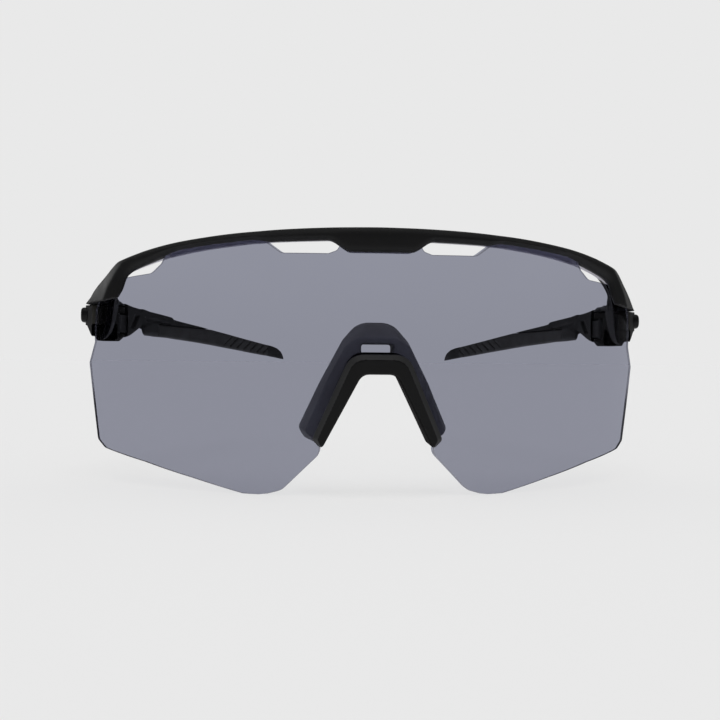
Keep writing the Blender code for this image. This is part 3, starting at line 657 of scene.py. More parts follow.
def calm_ends(material):
    """Fades the sheen out on the forward faces of the two frame ends."""
    nodes = Tree(material.node_tree)
    geometry = nodes.add("ShaderNodeNewGeometry").outputs
    away = nodes.math("ABSOLUTE", nodes.split(geometry["Position"])["X"])
    forward = nodes.math("MULTIPLY", nodes.split(geometry["Normal"])["Y"], -1.0)
    both = nodes.math("MULTIPLY",
                      nodes.remap(away, span=(0.053, 0.060), kind="SMOOTHSTEP"),
                      nodes.remap(forward, span=(0.48, 0.64), kind="SMOOTHSTEP"))
    spec = nodes.remap(both, span=(0.0, 1.0), to=(FRAME_SPEC, 0.02), kind="SMOOTHSTEP")
    nodes.link(spec, nodes.tree.nodes["Principled BSDF"].inputs["Specular IOR Level"])


FRAME_BLACK, FRAME_WORN, FRAME_SPEC = (0.0110, 0.0110, 0.0115), (0.03, 0.03, 0.032), 0.11
frame_nylon = plastic("matte_black_nylon", FRAME_BLACK, FRAME_WORN, spec=FRAME_SPEC)
end_nylon = plastic("matte_black_frame_nylon", FRAME_BLACK, FRAME_WORN, spec=FRAME_SPEC)
calm_ends(end_nylon)
# painted light: a lighter, duller copy of the black nylon for the hinge block's faces seen through
# the lens
block_painted_light_nylon = plastic("painted_light_block_nylon", base=(0.0170, 0.0165, 0.0145),
                      worn=(0.022, 0.022, 0.020), rough=(0.7, 0.85), spec=0.05)
# painted shade: near-black with no sheen, put on the hinge block's low front corner where shade
# falls
recess_painted_shade = plastic("painted_shade_in_recess", base=(0.0012, 0.0012, 0.0012),
                       worn=(0.002, 0.002, 0.002), rough=(0.8, 0.9), grain=0.1, spec=0.0)
arm_nylon = plastic("arm_black_nylon", base=(0.0116, 0.0112, 0.0100), worn=FRAME_WORN,
                    rough=(0.5, 0.66))
# painted reflection: light grey nylon on the black frame's rear lip, standing in for the light it
# catches
rear_lip_painted_light = plastic("painted_reflection_rear_lip", base=(0.50, 0.48, 0.54), worn=(0.56, 0.54, 0.58),
                    rough=(0.40, 0.50), grain=0.02, spec=0.4)
clip_nylon = plastic("clip_black_nylon", base=(0.0045, 0.0045, 0.0048),
                     worn=(0.025, 0.025, 0.027), rough=(0.40, 0.52), grain=0.16, spec=0.16)
# painted highlight: a lighter nylon for the clip's front chamfer, standing in for the light it
# catches
clip_painted_highlight = plastic("painted_highlight_clip_chamfer", base=(0.030, 0.030, 0.031), worn=(0.05, 0.05, 0.052),
                    rough=(0.40, 0.52), grain=0.12, spec=0.3)
clip_inner = plastic("clip_inner_nylon", base=(0.0040, 0.0040, 0.0042),
                     worn=(0.015, 0.015, 0.016), rough=(0.7, 0.85), grain=0.1, spec=0.03)
cap_plastic = plastic("satin_black_cap", base=(0.0060, 0.0060, 0.0065), worn=(0.03, 0.03, 0.03),
                      rough=(0.30, 0.42), grain=0.08, spec=0.16)
nose_rubber = rubber("soft_nose_rubber", base=(0.205, 0.197, 0.190), pale=(0.255, 0.247, 0.240))
grip_rubber = rubber("ribbed_grip_rubber", base=(0.042, 0.0405, 0.0365),
                     pale=(0.062, 0.0605, 0.056))
steel = metal("stainless_screw", base=(0.55, 0.55, 0.57), rough=0.28, stretch=(1.0, 1.0, 0.2))
brass = metal("brass_insert", base=(0.70, 0.50, 0.22), rough=0.32, stretch=(0.2, 0.2, 2.0))
acetal = plastic("black_acetal", base=(0.012, 0.012, 0.012), worn=(0.04, 0.04, 0.04),
                 rough=(0.35, 0.5), grain=0.1, spec=0.5, wear=0.2)
lens_clear = lens_material("clear_grey_sheet", tint=(0.5655, 0.5735, 0.628))
lens_edge = lens_edge_material("polished_sheet_edge")


# ----------------------------------------------------------------------------
# Shield lens
# ----------------------------------------------------------------------------
# right half of the flat blank from the top middle round to the nose: arc length, z, radius
LENS_HALF = (
    (7.6, 26.4, 0.8), (9.4, 23.3, 1.2), (11.2, 22.65, 1.2), (21.4, 22.8, 2.2),
    (26.0, 26.0, 0.8), (35.0, 25.3, 0), (42.0, 24.7, 0), (49.9, 23.7, 0.4),
    (51.6, 21.2, 2.0), (54.6, 19.2, 3.0), (61.0, 18.75, 1.5), (65.0, 18.4, 0.8),
    (67.2, 19.1, 0.6), (73.3, 15.9, 0.8), (76.4, 11.5, 1.5), (77.1, 7.0, 1.0),
    (77.1, 3.8, 1.0), (80.3, -1.2, 1.2), (76.25, -20.0, 1.4), (72.9, -21.9, 2.5),
    (57.3, -24.2, 6.0), (42.9, -27.1, 6.0), (27.2, -30.65, 3.0), (20.9, -28.9, 4.0),
    (12.5, -20.6, 2.5), (12.7, -17.3, 0.8), (4.7, -0.9, 2.6),
)
EASE = 0.16          # chamfer of both rims
RIM_LINE = 0.60      # depth of the edge band next to the front face


def lens_space(name):
    """The lens with its play all round, to cut out of the pieces that hold it."""
    outline = widened(rounded(symmetric(LENS_HALF)), GROOVE_GAP)
    return formed_sheet(name, [(outline, -GROOVE_GAP), (outline, LENS_THICKNESS + GROOVE_GAP)])


def build_lens():
    blank = rounded(symmetric(LENS_HALF), arc=8)
    inset = widened(blank, -EASE)
    layers = [(inset, 0.0), (blank, EASE), (blank, RIM_LINE), (blank, LENS_THICKNESS - EASE),
              (inset, LENS_THICKNESS)]
    lens = formed_sheet("shield_lens_clear", layers, step_along=2.0, step_up=4.0)
    for vert in lens.data.vertices:
        vert.co.z = max(vert.co.z, FOOT_Z)
    place(lens, "shield_lens_clear", "shield_lens", "lens", lens_clear, lens_edge, sharp=25)
    for poly in lens.data.polygons:
        center = TO_DATUM @ poly.center
        angle = math.atan2(center.x, LENS_RADIUS - center.y + LENS_LEAN * center.z)
        rearward = poly.normal.dot(lens_normal(angle, center.z))
        if -0.93 < rearward < 0.25 and sheet_coords(center)[1] < RIM_LINE + 0.05:
            poly.material_index = 1


# ----------------------------------------------------------------------------
# Front frame
# ----------------------------------------------------------------------------
FRONT_LIP, REAR_LIP = 2.2, 4.4       # reach in front of and behind the lens front
# brow edges: arc length from the middle, z
TOP_EDGE = ((0, 28.3), (9, 28.2), (15, 28.05), (22, 27.8), (26, 27.55), (31, 27.3),
            (35.6, 26.95), (41, 26.45), (46.5, 25.9), (51.5, 25.2), (55, 24.6),
            (58.5, 24.0), (61.5, 23.25))
LOW_EDGE = ((0, 22.75), (7.0, 22.75), (10.6, 25.3), (24, 25.05), (26, 24.85),
            (29.3, 24.75), (33.5, 24.4), (37.3, 24.1), (40.9, 23.75), (45, 23.3),
            (49.5, 22.75), (52.7, 22.35), (56.0, 21.8), (58.5, 21.3), (61.5, 20.7))
# front lip's lower edge where it drops towards the frame end
FRONT_EDGE = ((47.0, 23.7), (50.0, 22.7), (54.6, 21.2), (58.0, 20.3), (60.0, 19.4))
SHELF_LOW, SHELF_HIGH = 13.15, 14.5  # shelf over the hinge block
# sections of the frame end, from the brow out and down to the shelf
END_RINGS = (
    [lens_point(58.9, 19.85, -1.2), lens_point(59.1, 20.4, -FRONT_LIP),
     lens_point(61.3, 22.2, -FRONT_LIP), lens_point(63.0, 23.0, -0.6),
     lens_point(63.6, 22.8, 3.5), lens_point(63.8, 21.9, REAR_LIP + 0.2),
     lens_point(63.2, 21.0, REAR_LIP + 0.2), lens_point(62.6, 20.5, 3.5)],
    [lens_point(61.0, 18.5, -1.2), lens_point(61.2, 18.9, -FRONT_LIP),
     lens_point(63.2, 20.7, -FRONT_LIP), lens_point(67.0, 22.1, -0.4),
     lens_point(68.6, 21.6, 3.6), lens_point(69.6, 20.8, REAR_LIP + 0.9),
     lens_point(68.8, 19.5, REAR_LIP + 0.7), lens_point(67.4, 19.3, 3.5)],
    [lens_point(62.4, 16.0, -1.2), lens_point(62.5, 16.2, -FRONT_LIP),
     lens_point(67.0, 16.9, -FRONT_LIP), lens_point(72.6, 18.6, -0.1),
     Vector((64.3, 32.5, 18.5)), Vector((62.0, 33.6, 17.9)),
     Vector((60.2, 32.4, 16.9)), lens_point(71.9, 16.6, 3.6)],
    [lens_point(63.4, 14.9, -1.2), lens_point(63.5, 15.0, -FRONT_LIP),
     lens_point(68.2, 15.2, -FRONT_LIP), lens_point(77.0, 15.9, 0.0),
     Vector((67.2, 36.0, 16.0)), Vector((62.6, 36.6, 15.5)),
     Vector((60.9, 34.6, 14.9)), lens_point(73.2, 14.8, 3.6)],
    [lens_point(64.3, 14.05, -1.2), lens_point(64.6, 14.05, -FRONT_LIP),
     lens_point(69.4, 13.45, -FRONT_LIP), Vector((68.3, 34.8, SHELF_LOW)),
     Vector((69.1, 39.0, SHELF_LOW)), Vector((61.9, 39.0, SHELF_LOW)),
     Vector((61.3, 34.8, SHELF_LOW)), lens_point(73.9, 13.4, 3.6)],
)
# corner blends of the eight section points
BROW_REACH = (0.5, 0.8, 1.5, 1.3, 0.9, 0.7, 0.5, 0.5)
END_REACH = (0.4, 0.7, 1.2, 1.8, 1.2, 0.8, 0.6, 0.5)
LAST_REACH = (0.4, 0.6, 1.0, 0.9, 0.7, 0.6, 0.5, 0.5)

EAR_R = 3.8                          # rounded rear of shelf and block round the hinge
# post beside the hinge block: front view (x, z, radius) and plan (x, y)
POST_FACE = ((60.9, 14.2, 0), (61.1, 12.4, 1.5), (61.8, 8.5, 2), (62.6, 6.2, 1.5),
             (63.8, 4.7, 0.8), (65.2, 4.3, 0.5), (65.2, 5.5, 0.4), (64.5, 5.9, 0.6),
             (63.8, 8.0, 1.5), (63.0, 12.4, 1.5), (62.9, 14.2, 0))
POST_PLAN = ((59.5, 26.5), (60.0, 27.0), (62.5, 29.5), (65.5, 33.5), (65.5, 36.3), (59.5, 36.3))
# corners cut off the shelf's inner and outer top edges (x, z)
EAR_RIM_TOP = ((60.0, 13.3), (60.7, 13.3), (62.5, 14.55), (62.5, 16.0), (60.0, 16.0))
SHELF_SLOPE = ((69.6, 13.35), (69.1, 13.4), (67.7, 14.8), (67.7, 16.0), (69.6, 16.0))


def brow_section(along):
    top = soft_table(TOP_EDGE, along, 3.0, even=True)
    rear_low = soft_table(LOW_EDGE, along, 0.75, even=True)
    lift = 0.75 * min(1.0, max(0.0, (along - 24.0) / 2.5))
    front_low = rear_low + lift + (0.1 if along < 7.1 else 0.0)
    if along > 46.0:
        front_low = min(front_low, soft_table(FRONT_EDGE, along, 0.8))
    ring = ((front_low, -1.0), (front_low + 0.75, -FRONT_LIP), (top - 1.3, -FRONT_LIP + 0.12),
            (top, -0.7), (top - 0.15, 3.4), (top - 1.0, REAR_LIP), (rear_low + 0.7, REAR_LIP),
            (rear_low, 3.5))
    return [lens_point(along, z, depth) for z, depth in ring]


def brow_rings():
    """Rings from the middle of the brow to the right-hand shelf."""
    rings = [round_ring(brow_section(along), BROW_REACH) for along in range(57)]
    control = [brow_section(53.8), brow_section(56.5), *END_RINGS, END_RINGS[-1]]
    for i in range(1, len(control) - 2):
        for k in range(5):
            part = k / 5
            ring = [catmull(*(section[j] for section in control[i - 1:i + 3]), part)
                    for j in range(8)]
            fade = min(1.0, (i - 1 + part) / 1.2)
            rings.append(round_ring(ring, [brow + (end - brow) * fade
                                           for brow, end in zip(BROW_REACH, END_REACH)]))
    rings.append(round_ring(END_RINGS[-1], LAST_REACH))
    return rings


def hinge_disc(radius, start, end, count):
    return [(HINGE_X + radius * math.cos(math.radians(angle)),
             HINGE_Y + radius * math.sin(math.radians(angle)))
            for angle in (start + (end - start) * k / count for k in range(count + 1))]


def block_plan(front_inner):
    """Plan shared by shelf and block, closed by its own front inner points."""
    outer = [(67.2, 34.9), (69.2, 37.2), (69.2, 44.0), (68.8, 48.0), (68.0, 48.0)]
    return outer + hinge_disc(EAR_R, 52.0, 215.0, 24) + front_inner


def build_brow():
    right = brow_rings()
    left = [[Vector((-point.x, point.y, point.z)) for point in ring] for ring in right[1:]]
    brow = loft("front_frame_moulding", left[::-1] + right)
    plan = block_plan([(61.6, 41.0), (61.3, 36.0), (60.7, 33.0), (62.6, 32.0)])
    for sign in (1, -1):
        shelf = prism("shelf", flipped(plan, sign), SHELF_LOW, SHELF_HIGH)
        shelf = cut(shelf, prism_y("slope", flipped(SHELF_SLOPE, sign), 30, 60))
        shelf = cut(shelf, prism_y("rim", flipped(EAR_RIM_TOP, sign), 37.5, 60))
        brow = join(brow, shelf)
        post = prism_y("post", flipped(rounded(POST_FACE, 4), sign), 26.0, 37.0)
        post = combine(post, prism("plan", flipped(POST_PLAN, sign), 3.0, 15.0), "INTERSECT")
        brow = join(brow, post)
    brow = cut(brow, lens_space("groove"))
    for sign in (1, -1):
        brow = cut(brow, rod("hole", sign * HINGE_X, HINGE_Y, 12, 16, SCREW_R + 0.1))
        brow = cut(brow, rod("seat", sign * HINGE_X, HINGE_Y, 13.95, 16, SCREW_HEAD_R + 0.15))
    brow = moulded(brow, voxel=0.24, rounds=3)
    place(brow, "front_frame_moulding", "front_frame", "frame_nylon", end_nylon, rear_lip_painted_light,
          sharp=None)
    # painted reflection: a light grey, smoother nylon on the forward and downward faces of the lip
    # behind the lens
    for poly in brow.data.polygons:
        center = TO_DATUM @ poly.center
        along, depth, forward = sheet_coords(center)
        if depth > 0.6 and center.z > 16.5 and abs(along) < 66 and (
                poly.normal.dot(forward) > 0.25 or poly.normal.z < -0.55):
            poly.material_index = 1


# ----------------------------------------------------------------------------
# Hinge blocks and caps
# ----------------------------------------------------------------------------
SLOT_R = KNUCKLE_R + 0.35
# corners cut off the block: outer lower (x, z), front lower (y, z), inner lower (x, z)
BLOCK_SLOPE = ((69.9, 7.9), (69.9, 3.0), (65.6, 3.0), (66.8, 4.2), (68.8, 7.9))
BLOCK_UNDER = ((30, 3.0), (39.6, 3.0), (39.4, 5.6), (38.0, 8.0), (30, 8.0))
BLOCK_RIM = ((60.0, 3.5), (62.7, 3.5), (62.7, 4.1), (60.7, 5.6), (60.0, 5.6))
CAP_OVAL = rounded(rectangle(2.9, -1.85, 1.85, 1.8), 10)
CAP_TURN = Matrix.Translation((0, 39.6, 10.5)) @ TO_X     # onto the block's outer face
# rolled edge and shallow dished face of the cap: growth of the oval, x
CAP_LAYERS = ((0.0, 68.7), (0.0, 69.85), (-0.05, 70.05), (-0.16, 70.22), (-0.34, 70.33),
              (-0.55, 70.35), (-0.75, 70.30), (-0.9, 70.18), (-1.2, 70.14))


def build_blocks():
    plan = block_plan([(61.9, 41.0), (61.9, 37.3), (63.9, 36.9), (65.4, 35.3)])
    block = prism("block", plan, BLOCK_LOW, BLOCK_HIGH)
    slot = hinge_disc(SLOT_R, -90, 0, 16) + [
        (HINGE_X + SLOT_R, HINGE_Y + 9), (HINGE_X - 9, HINGE_Y + 9),
        (HINGE_X - 9, HINGE_Y - KNUCKLE_R - 0.35)]
    block = cut(block, prism("slot", slot, SLOT_LOW, SLOT_HIGH))
    block = cut(block, prism_y("slope", BLOCK_SLOPE, 30, 60))
    block = cut(block, prism("under", BLOCK_UNDER, 55, 67.3, TO_X))
    block = cut(block, prism_y("rim", BLOCK_RIM, 30, 60))
    block = cut(block, prism("pocket", widened(CAP_OVAL, 0.2), 68.45, 72, CAP_TURN))
    for low, high, radius in ((2, 7, NUT_R + 0.05), (10, 14, SCREW_R + 0.1)):
        block = cut(block, rod("hole", HINGE_X, HINGE_Y, low, high, radius))
    block = moulded(block, voxel=0.17, rounds=3)
    pair = place_pair(block, "hinge_block", "moulding", "frame_nylon",
                      block_painted_light_nylon, frame_nylon, recess_painted_shade, sharp=None)
    for sign, moulding in zip((1, -1), pair):
        for poly in moulding.data.polygons:
            center = TO_DATUM @ poly.center
            # outward faces keep the frame nylon; the other faces keep the lighter block copy,
            # painted light
            if poly.normal.x * sign > 0.35:
                poly.material_index = 1
            # painted shade: the low front corner inside the block takes the near-black recess
            # material
            elif abs(center.x) < 67.4 and center.y < 39.8 and center.z < 8.2:
                poly.material_index = 2


def build_caps():
    shape = bmesh.new()
    rings = ring_verts(shape, [[(y, z, x) for y, z in (widened(CAP_OVAL, gap) if gap else CAP_OVAL)]
                               for gap, x in CAP_LAYERS])
    bridge(shape, rings)
    shape.faces.new(rings[0])
    shape.faces.new(rings[-1])
    triangulate_large(shape)
    bmesh.ops.transform(shape, matrix=CAP_TURN, verts=shape.verts)
    place_pair(make("cap", shape), "hinge_cap", "oval", "cap_plastic", cap_plastic)


# ----------------------------------------------------------------------------
# Hinge fixings
# ----------------------------------------------------------------------------
THREAD_START, THREAD_END, THREAD_PITCH = 4.62, 9.5, 0.28
HEAD_TOP = 14.85
WASHER_R = 2.6


def build_screw():
    """Rolled thread, chamfered pan head and six-sided socket."""
    profile = [(0.0001, 4.55), (SCREW_R - 0.25, 4.5)]
    z = THREAD_START
    while z < THREAD_END:
        profile += [(SCREW_R - 0.12, z), (SCREW_R - 0.01, z + 0.14)]
        z += THREAD_PITCH
    profile += [(SCREW_R - 0.05, z), (SCREW_R, z + 0.1), (SCREW_R, 14.03),
                (SCREW_HEAD_R - 0.1, 14.06), (SCREW_HEAD_R, 14.14), (SCREW_HEAD_R, 14.6),
                (SCREW_HEAD_R - 0.08, 14.75), (SCREW_HEAD_R - 0.26, 14.84),
                (0.9, HEAD_TOP), (0.0001, HEAD_TOP)]
    screw = turned("screw", profile, HINGE_X, HINGE_Y)
    return cut(screw, rod("socket", HINGE_X, HINGE_Y, 14.35, 15.5, 0.75, segments=6))


def bevelled_ring(name, low, high, outer, bevel, x=HINGE_X, y=HINGE_Y):
    """A ring clear of the screw."""
    inner = SCREW_R + 0.06
    profile = [(inner, high - bevel), (inner + bevel, high), (outer - bevel, high),
               (outer, high - bevel), (outer, low + bevel), (outer - bevel, low),
               (inner + bevel, low), (inner, low + bevel)]
    return turned(name, profile, x, y)


def build_fixings():
    screw = build_screw()
    nut = bevelled_ring("nut", BLOCK_LOW + 0.1, SLOT_LOW - 0.05, NUT_R - 0.02, 0.12)
    bush = bevelled_ring("bush", KNUCKLE_LOW + 0.05, KNUCKLE_HIGH - 0.05, BUSH_R, 0.12, x=0, y=0)
    lower = bevelled_ring("washer_low", SLOT_LOW + 0.05, KNUCKLE_LOW - 0.05, WASHER_R, 0.06)
    upper = bevelled_ring("washer_high", KNUCKLE_HIGH + 0.05, SLOT_HIGH - 0.05, WASHER_R, 0.06)
    for obj, stem, slot, material in (
            (screw, "hinge_screw", "steel", steel), (nut, "hinge_nut", "brass", brass),
            (bush, "hinge_bush", "acetal", acetal),
            (lower, "hinge_washer_lower", "acetal", acetal),
            (upper, "hinge_washer_upper", "acetal", acetal)):
        place_pair(obj, stem, "turned", slot, material, moving=obj is bush, sharp=30)


# ----------------------------------------------------------------------------
# Arms and grips, in arm space: hinge axis at the origin, back = distance behind it
# ----------------------------------------------------------------------------
ARM_LENGTH, ARM_START = 120.5, 4.7
ARM_SLOPE_ROOT, ARM_SLOPE_TIP = math.tan(math.radians(4.0)), math.tan(math.radians(15.0))
ARM_HALF_ROOT, ARM_HALF_TIP = 3.1, 1.45     # half thickness
ARM_TIP = 112                               # where the tip starts to round off
# back, top z, bottom z of the inner side
ARM_PROFILE = ((4.7, 13.9, 5.25), (7, 13.6, 5.65), (9.2, 13.35, 6.4), (13.6, 13.05, 8.0),
               (14.3, 13.0, 8.3), (14.6, 13.0, 7.2), (15.4, 12.95, 6.4), (19, 12.7, 6.1),
               (24, 12.4, 5.95), (30.5, 12.0, 5.85), (34.6, 11.7, 5.78), (35.8, 11.1, 5.75),
               (38, 10.9, 5.6), (45, 10.4, 5.3), (55, 9.7, 4.85), (65, 8.85, 4.25),
               (75, 8.0, 3.55), (85, 7.05, 2.85), (95, 6.1, 2.05), (105, 5.1, 1.3),
               (110, 4.65, 0.9), (114, 3.95, 0.55), (117.5, 2.75, 0.25), (119.6, 1.4, 0.05),
               (120.5, 0.55, -0.05))
# back, underside z of the outer side; the inner side hangs below it as a thin lip
ARM_UNDERSIDE = ((4.7, 5.4), (7, 5.8), (9.2, 6.55), (13.6, 8.15), (14.3, 8.5), (28, 8.5),
                 (33.6, 8.2), (38, 7.8), (45, 7.2), (55, 6.3), (65, 5.4), (75, 4.5), (85, 3.6),
                 (95, 2.6), (105, 1.65), (112, 0.95), (117.5, 0.45), (120.5, 0.05))
BOOT_LIP = ((13.6, 6.0), (14.3, 0.5), (15.6, 0.6), (25.0, 4.0))      # back, lip thickness
# shallow features of the inner face (back, z): two recesses and a raised boot
LIGHTENING = ((9.3, 11.2), (11.9, 11.1), (8.7, 7.7), (6.2, 7.7))
WEDGE = ((15.6, 10.95), (32.6, 9.85), (32.4, 9.55), (21.5, 9.7), (16.4, 10.1))
BOOT = ((13.7, 5.5), (13.9, 7.9), (15.6, 8.75), (18.5, 9.25), (22.0, 9.3), (25.4, 9.0),
        (25.4, 5.0))
GRIP_START, GRIP_END, GRIP_FULL, GRIP_TOP_AT_START = 25.0, 106.0, 63.0, 9.3
BED_GAP = 0.12                              # play round the grip in its bed
RIB_START, RIB_PITCH, RIB_SLANT = 70.0, 5.2, 1.9


def arm_point(back, off, z):
    """Point at an offset outwards from the arm's curved centre line."""
    rise = ARM_SLOPE_TIP - ARM_SLOPE_ROOT
    x = -(ARM_SLOPE_ROOT * back + rise * back * back / (2 * ARM_LENGTH))
    angle = math.atan(ARM_SLOPE_ROOT + rise * back / ARM_LENGTH)
    return Vector((x + off * math.cos(angle), back + off * math.sin(angle), z))


def arm_half(back):
    half = ARM_HALF_ROOT + (ARM_HALF_TIP - ARM_HALF_ROOT) * back / ARM_LENGTH
    if back > ARM_TIP:
        half *= max(0.35, math.sqrt(max(0.0, 1 - ((back - ARM_TIP) / 9.2) ** 2)))
    return half


def arm_window(back, widest):
    """Reading window of the profile, narrow near the arm's start."""
    return min(widest, max(0.2, back - ARM_START)) if back < ARM_TIP else 0.6


def arm_top(back):
    reach = 0.35 if 32.5 < back < 36 else arm_window(back, 1.6)
    return soft_table(ARM_PROFILE, back, reach, column=1)


def arm_low(back):
    reach = 0.25 if 12.5 < back < 16 else arm_window(back, 1.2)
    return soft_table(ARM_PROFILE, back, reach, column=2)


def inner_relief(back, z):
    """Depth taken off the inner face (negative where it stands proud)."""
    depth = 0.0
    if 5.0 < back < 13.0:
        depth += 0.55 * step(depth_in(back, z, LIGHTENING), -0.12, 0.28)
    if 15.0 < back < 33.5:
        depth += 0.38 * step(depth_in(back, z, WEDGE), -0.15, 0.2)
    if 13.0 < back < 26.0:
        depth -= 0.30 * step(depth_in(back, z, BOOT), -0.25, 0.35) * (1 - step(back, 24.0, 25.0))
    return depth


def rib_relief(back, z):
    """Slanted grooves near the tip of the grip."""
    phase = (back - RIB_SLANT * (z - arm_low(back)) - RIB_START) / RIB_PITCH
    if phase < 0.0 or phase > 6.05:
        return 0.0
    near = abs(phase - round(phase)) * RIB_PITCH
    fade = (step(z, arm_low(back) + 0.35, arm_low(back) + 0.8)
            * (1 - step(z, arm_top(back) - 0.7, arm_top(back) - 0.3)))
    return 0.34 * (1 - step(near, 0.28, 0.75)) * fade


def side_points(back, low, high, face, sign, relief, count, corner):
    """Slightly crowned points up one side of the section, between its corners."""
    out = []
    for k in range(count + 1):
        z = low + corner + (high - low - 2 * corner) * k / count
        crown = 0.16 * (1 - ((z - (low + high) / 2) / max(0.5, (high - low) / 2)) ** 2)
        off = face + sign * (crown - 0.16)
        if relief is not None:
            off -= sign * relief(back, z)
        out.append((off, z))
    return out


def corner_points(start, mid, end):
    return [tuple(bezier(*axis, k / 4) for axis in zip(start, mid, end)) for k in range(1, 4)]


def arm_section(back):
    top, low, half = arm_top(back), arm_low(back), arm_half(back)
    outer_low = max(low + 0.02,
                    soft_table(ARM_UNDERSIDE, back, 0.5 if 13.0 < back < 16.0 else 1.5))
    lip = min(soft_table(BOOT_LIP, back, 0.3), 0.85 * half - 0.3 if back > 14 else 1.5 * half)
    inner_round = min(min(1.1, 0.30 * (top - low), 0.55 * half), 0.45 * lip)
    outer_round = min(1.0, 0.32 * (top - outer_low), 0.5 * half)
    inner = side_points(back, low, top, -half, -1, inner_relief, 22, max(0.25, inner_round))
    outer = side_points(back, outer_low, top, half, 1, None, 8, outer_round)[::-1]
    top_in, low_in = (-half + inner_round, top), (-half + inner_round, low)
    top_out, low_out = (half - outer_round, top), (half - outer_round, outer_low)
    ring = inner + corner_points(inner[-1], (-half, top), top_in)
    ring += [top_in, (0.0, top + 0.02), top_out]
    ring += corner_points(top_out, (half, top), outer[0])
    ring += outer + corner_points(outer[-1], (half, outer_low), low_out)
    ring += [low_out, (-half + lip + 0.25, outer_low),
             (-half + lip, low + 0.4 * (outer_low - low)), (-half + lip, low + 0.03), low_in]
    ring += corner_points(low_in, (-half, low), inner[0])
    return [arm_point(back, off, z) for off, z in ring]


def grip_edge(back):
    """Rising top edge of the grip on the inner face."""
    part = (back - GRIP_START) / (GRIP_FULL - GRIP_START)
    return GRIP_TOP_AT_START + (table(ARM_PROFILE, GRIP_FULL, 1) - GRIP_TOP_AT_START) * part


def grip_section(back):
    half, full, low = arm_half(back), arm_top(back), arm_low(back)
    blend = step(back, GRIP_FULL - 1.0, GRIP_FULL + 0.6)
    top = min(grip_edge(back), full) * (1 - blend) + full * blend
    corner = min(0.75, 0.3 * (top - low), 0.4 * half)
    flat = -0.15 * half
    inner = side_points(back, low, top, -half - 0.04, -1, rib_relief, 18, corner)
    top_in, low_in = (-half + corner, top), (-half + corner, low)
    ring = inner + corner_points(inner[-1], (-half, top), top_in)
    ring += [top_in, (flat, top), (flat, (top + low) / 2), (flat, low), low_in]
    ring += corner_points(low_in, (-half, low), inner[0])
    return [arm_point(back, off, z) for off, z in ring]


def bed_ring(back):
    """Section of the cutter that makes room for the grip."""
    over, under, half = arm_top(back) + 1.5, arm_low(back) - 1.5, arm_half(back)
    top = over if back > GRIP_FULL else min(grip_edge(back) + BED_GAP, over)
    inner, outer = -half - 1.5, -0.15 * half + BED_GAP
    return [arm_point(back, off, z)
            for off, z in ((inner, under), (inner, top), (outer, top), (outer, under))]


def build_arms():
    stations = [ARM_START + 0.35 * k for k in range(int((36.5 - ARM_START) / 0.35))]
    stations += [36.5 + 1.5 * k for k in range(int((110 - 36.5) / 1.5) + 1)]
    stations += [111 + 0.5 * k for k in range(19)] + [120.3, ARM_LENGTH]
    arm = loft("arm", [arm_section(back) for back in stations])
    neck = [(-2.6, 0), (2.6, 0), (2.2, ARM_START + 1.2), (-3.1, ARM_START + 1.2)]
    arm = join(arm, prism("neck", neck, KNUCKLE_LOW, KNUCKLE_HIGH))
    arm = join(arm, rod("knuckle", 0, 0, KNUCKLE_LOW, KNUCKLE_HIGH, KNUCKLE_R, segments=64))
    arm = cut(arm, rod("bore", 0, 0, 4, 13, BUSH_R + 0.04))

    stations = [GRIP_START + 0.02 + k for k in range(45)]
    stations += [RIB_START + 0.4 * k for k in range(90)] + [GRIP_END]
    grip = loft("grip", [grip_section(back) for back in stations])

    stations = [GRIP_START - BED_GAP] + [25 + 2.0 * k for k in range(1, 19)]
    stations += [GRIP_FULL - 0.01, GRIP_FULL + 0.01]
    stations += [65 + 2.0 * k for k in range(21)] + [GRIP_END + BED_GAP]
    arm = cut(arm, loft("bed", [bed_ring(back) for back in stations]))
    place_pair(arm, "temple_arm", "moulding", "arm_nylon", arm_nylon, moving=True, sharp=38)
    place_pair(grip, "temple_grip", "ribbed", "grip_rubber", grip_rubber, moving=True, sharp=50)


# ----------------------------------------------------------------------------
# Nosepiece: clip on the lens edge, and the soft saddle behind it
# ----------------------------------------------------------------------------
SADDLE_Z, PAD_DEPTH = -2.95, 8.5
# left halves (x, z, radius) of the clip's outline and front face, then the pad's two ends
CLIP = ((-6.1, 1.3, 4.6), (-14.1, -17.1, 1.0), (-12.0, -19.3, 0.9), (-3.6, -3.0, 2.6))
CLIP_FACE = ((-5.3, 0.2, 3.9), (-12.8, -17.0, 0.9), (-11.9, -18.8, 0.8), (-3.75, -2.75, 2.6))
PAD_FRONT = ((-4.2, 4.9, 4.0), (-7.1, 3.0, 3.0), (-11.2, -5.0, 5.0), (-15.7, -16.0, 1.2),
             (-12.3, -19.0, 0.8), (-4.2, SADDLE_Z, 2.0))
PAD_REAR = ((-3.9, 8.5, 8.4), (-7.3, 4.5, 4.0), (-12.4, -5.2, 6.0), (-17.1, -15.4, 1.6),
            (-15.2, -18.6, 1.0), (-5.0, SADDLE_Z, 2.0))
PAD_WINDOW = rounded(rectangle(3.6, 1.35, 3.45, 0.5), 4)


def build_clip():
    outer, face = rounded(symmetric(CLIP), 8), rounded(symmetric(CLIP_FACE), 8)
    clip = formed_sheet("clip", [(face, -2.45), (outer, -1.55), (outer, 3.3)],
                        step_along=1.2, step_up=1.5)
    clip = cut(clip, lens_space("channel"))
    clip = moulded(clip, voxel=0.15, rounds=2)
    place(clip, "nosepiece_clip_moulding", "nosepiece_clip", "clip_nylon",
          clip_nylon, clip_painted_highlight, clip_inner, sharp=None)
    # inner faces, then the chamfer round the front, which takes a lighter nylon as a painted
    # highlight
    for poly in clip.data.polygons:
        normal = poly.normal
        sideways = normal.x * math.copysign(1.0, poly.center.x)
        if sideways < -0.35:
            poly.material_index = 2
        elif -0.90 < normal.y < -0.22 and max(normal.z, sideways) > 0.3:
            poly.material_index = 1


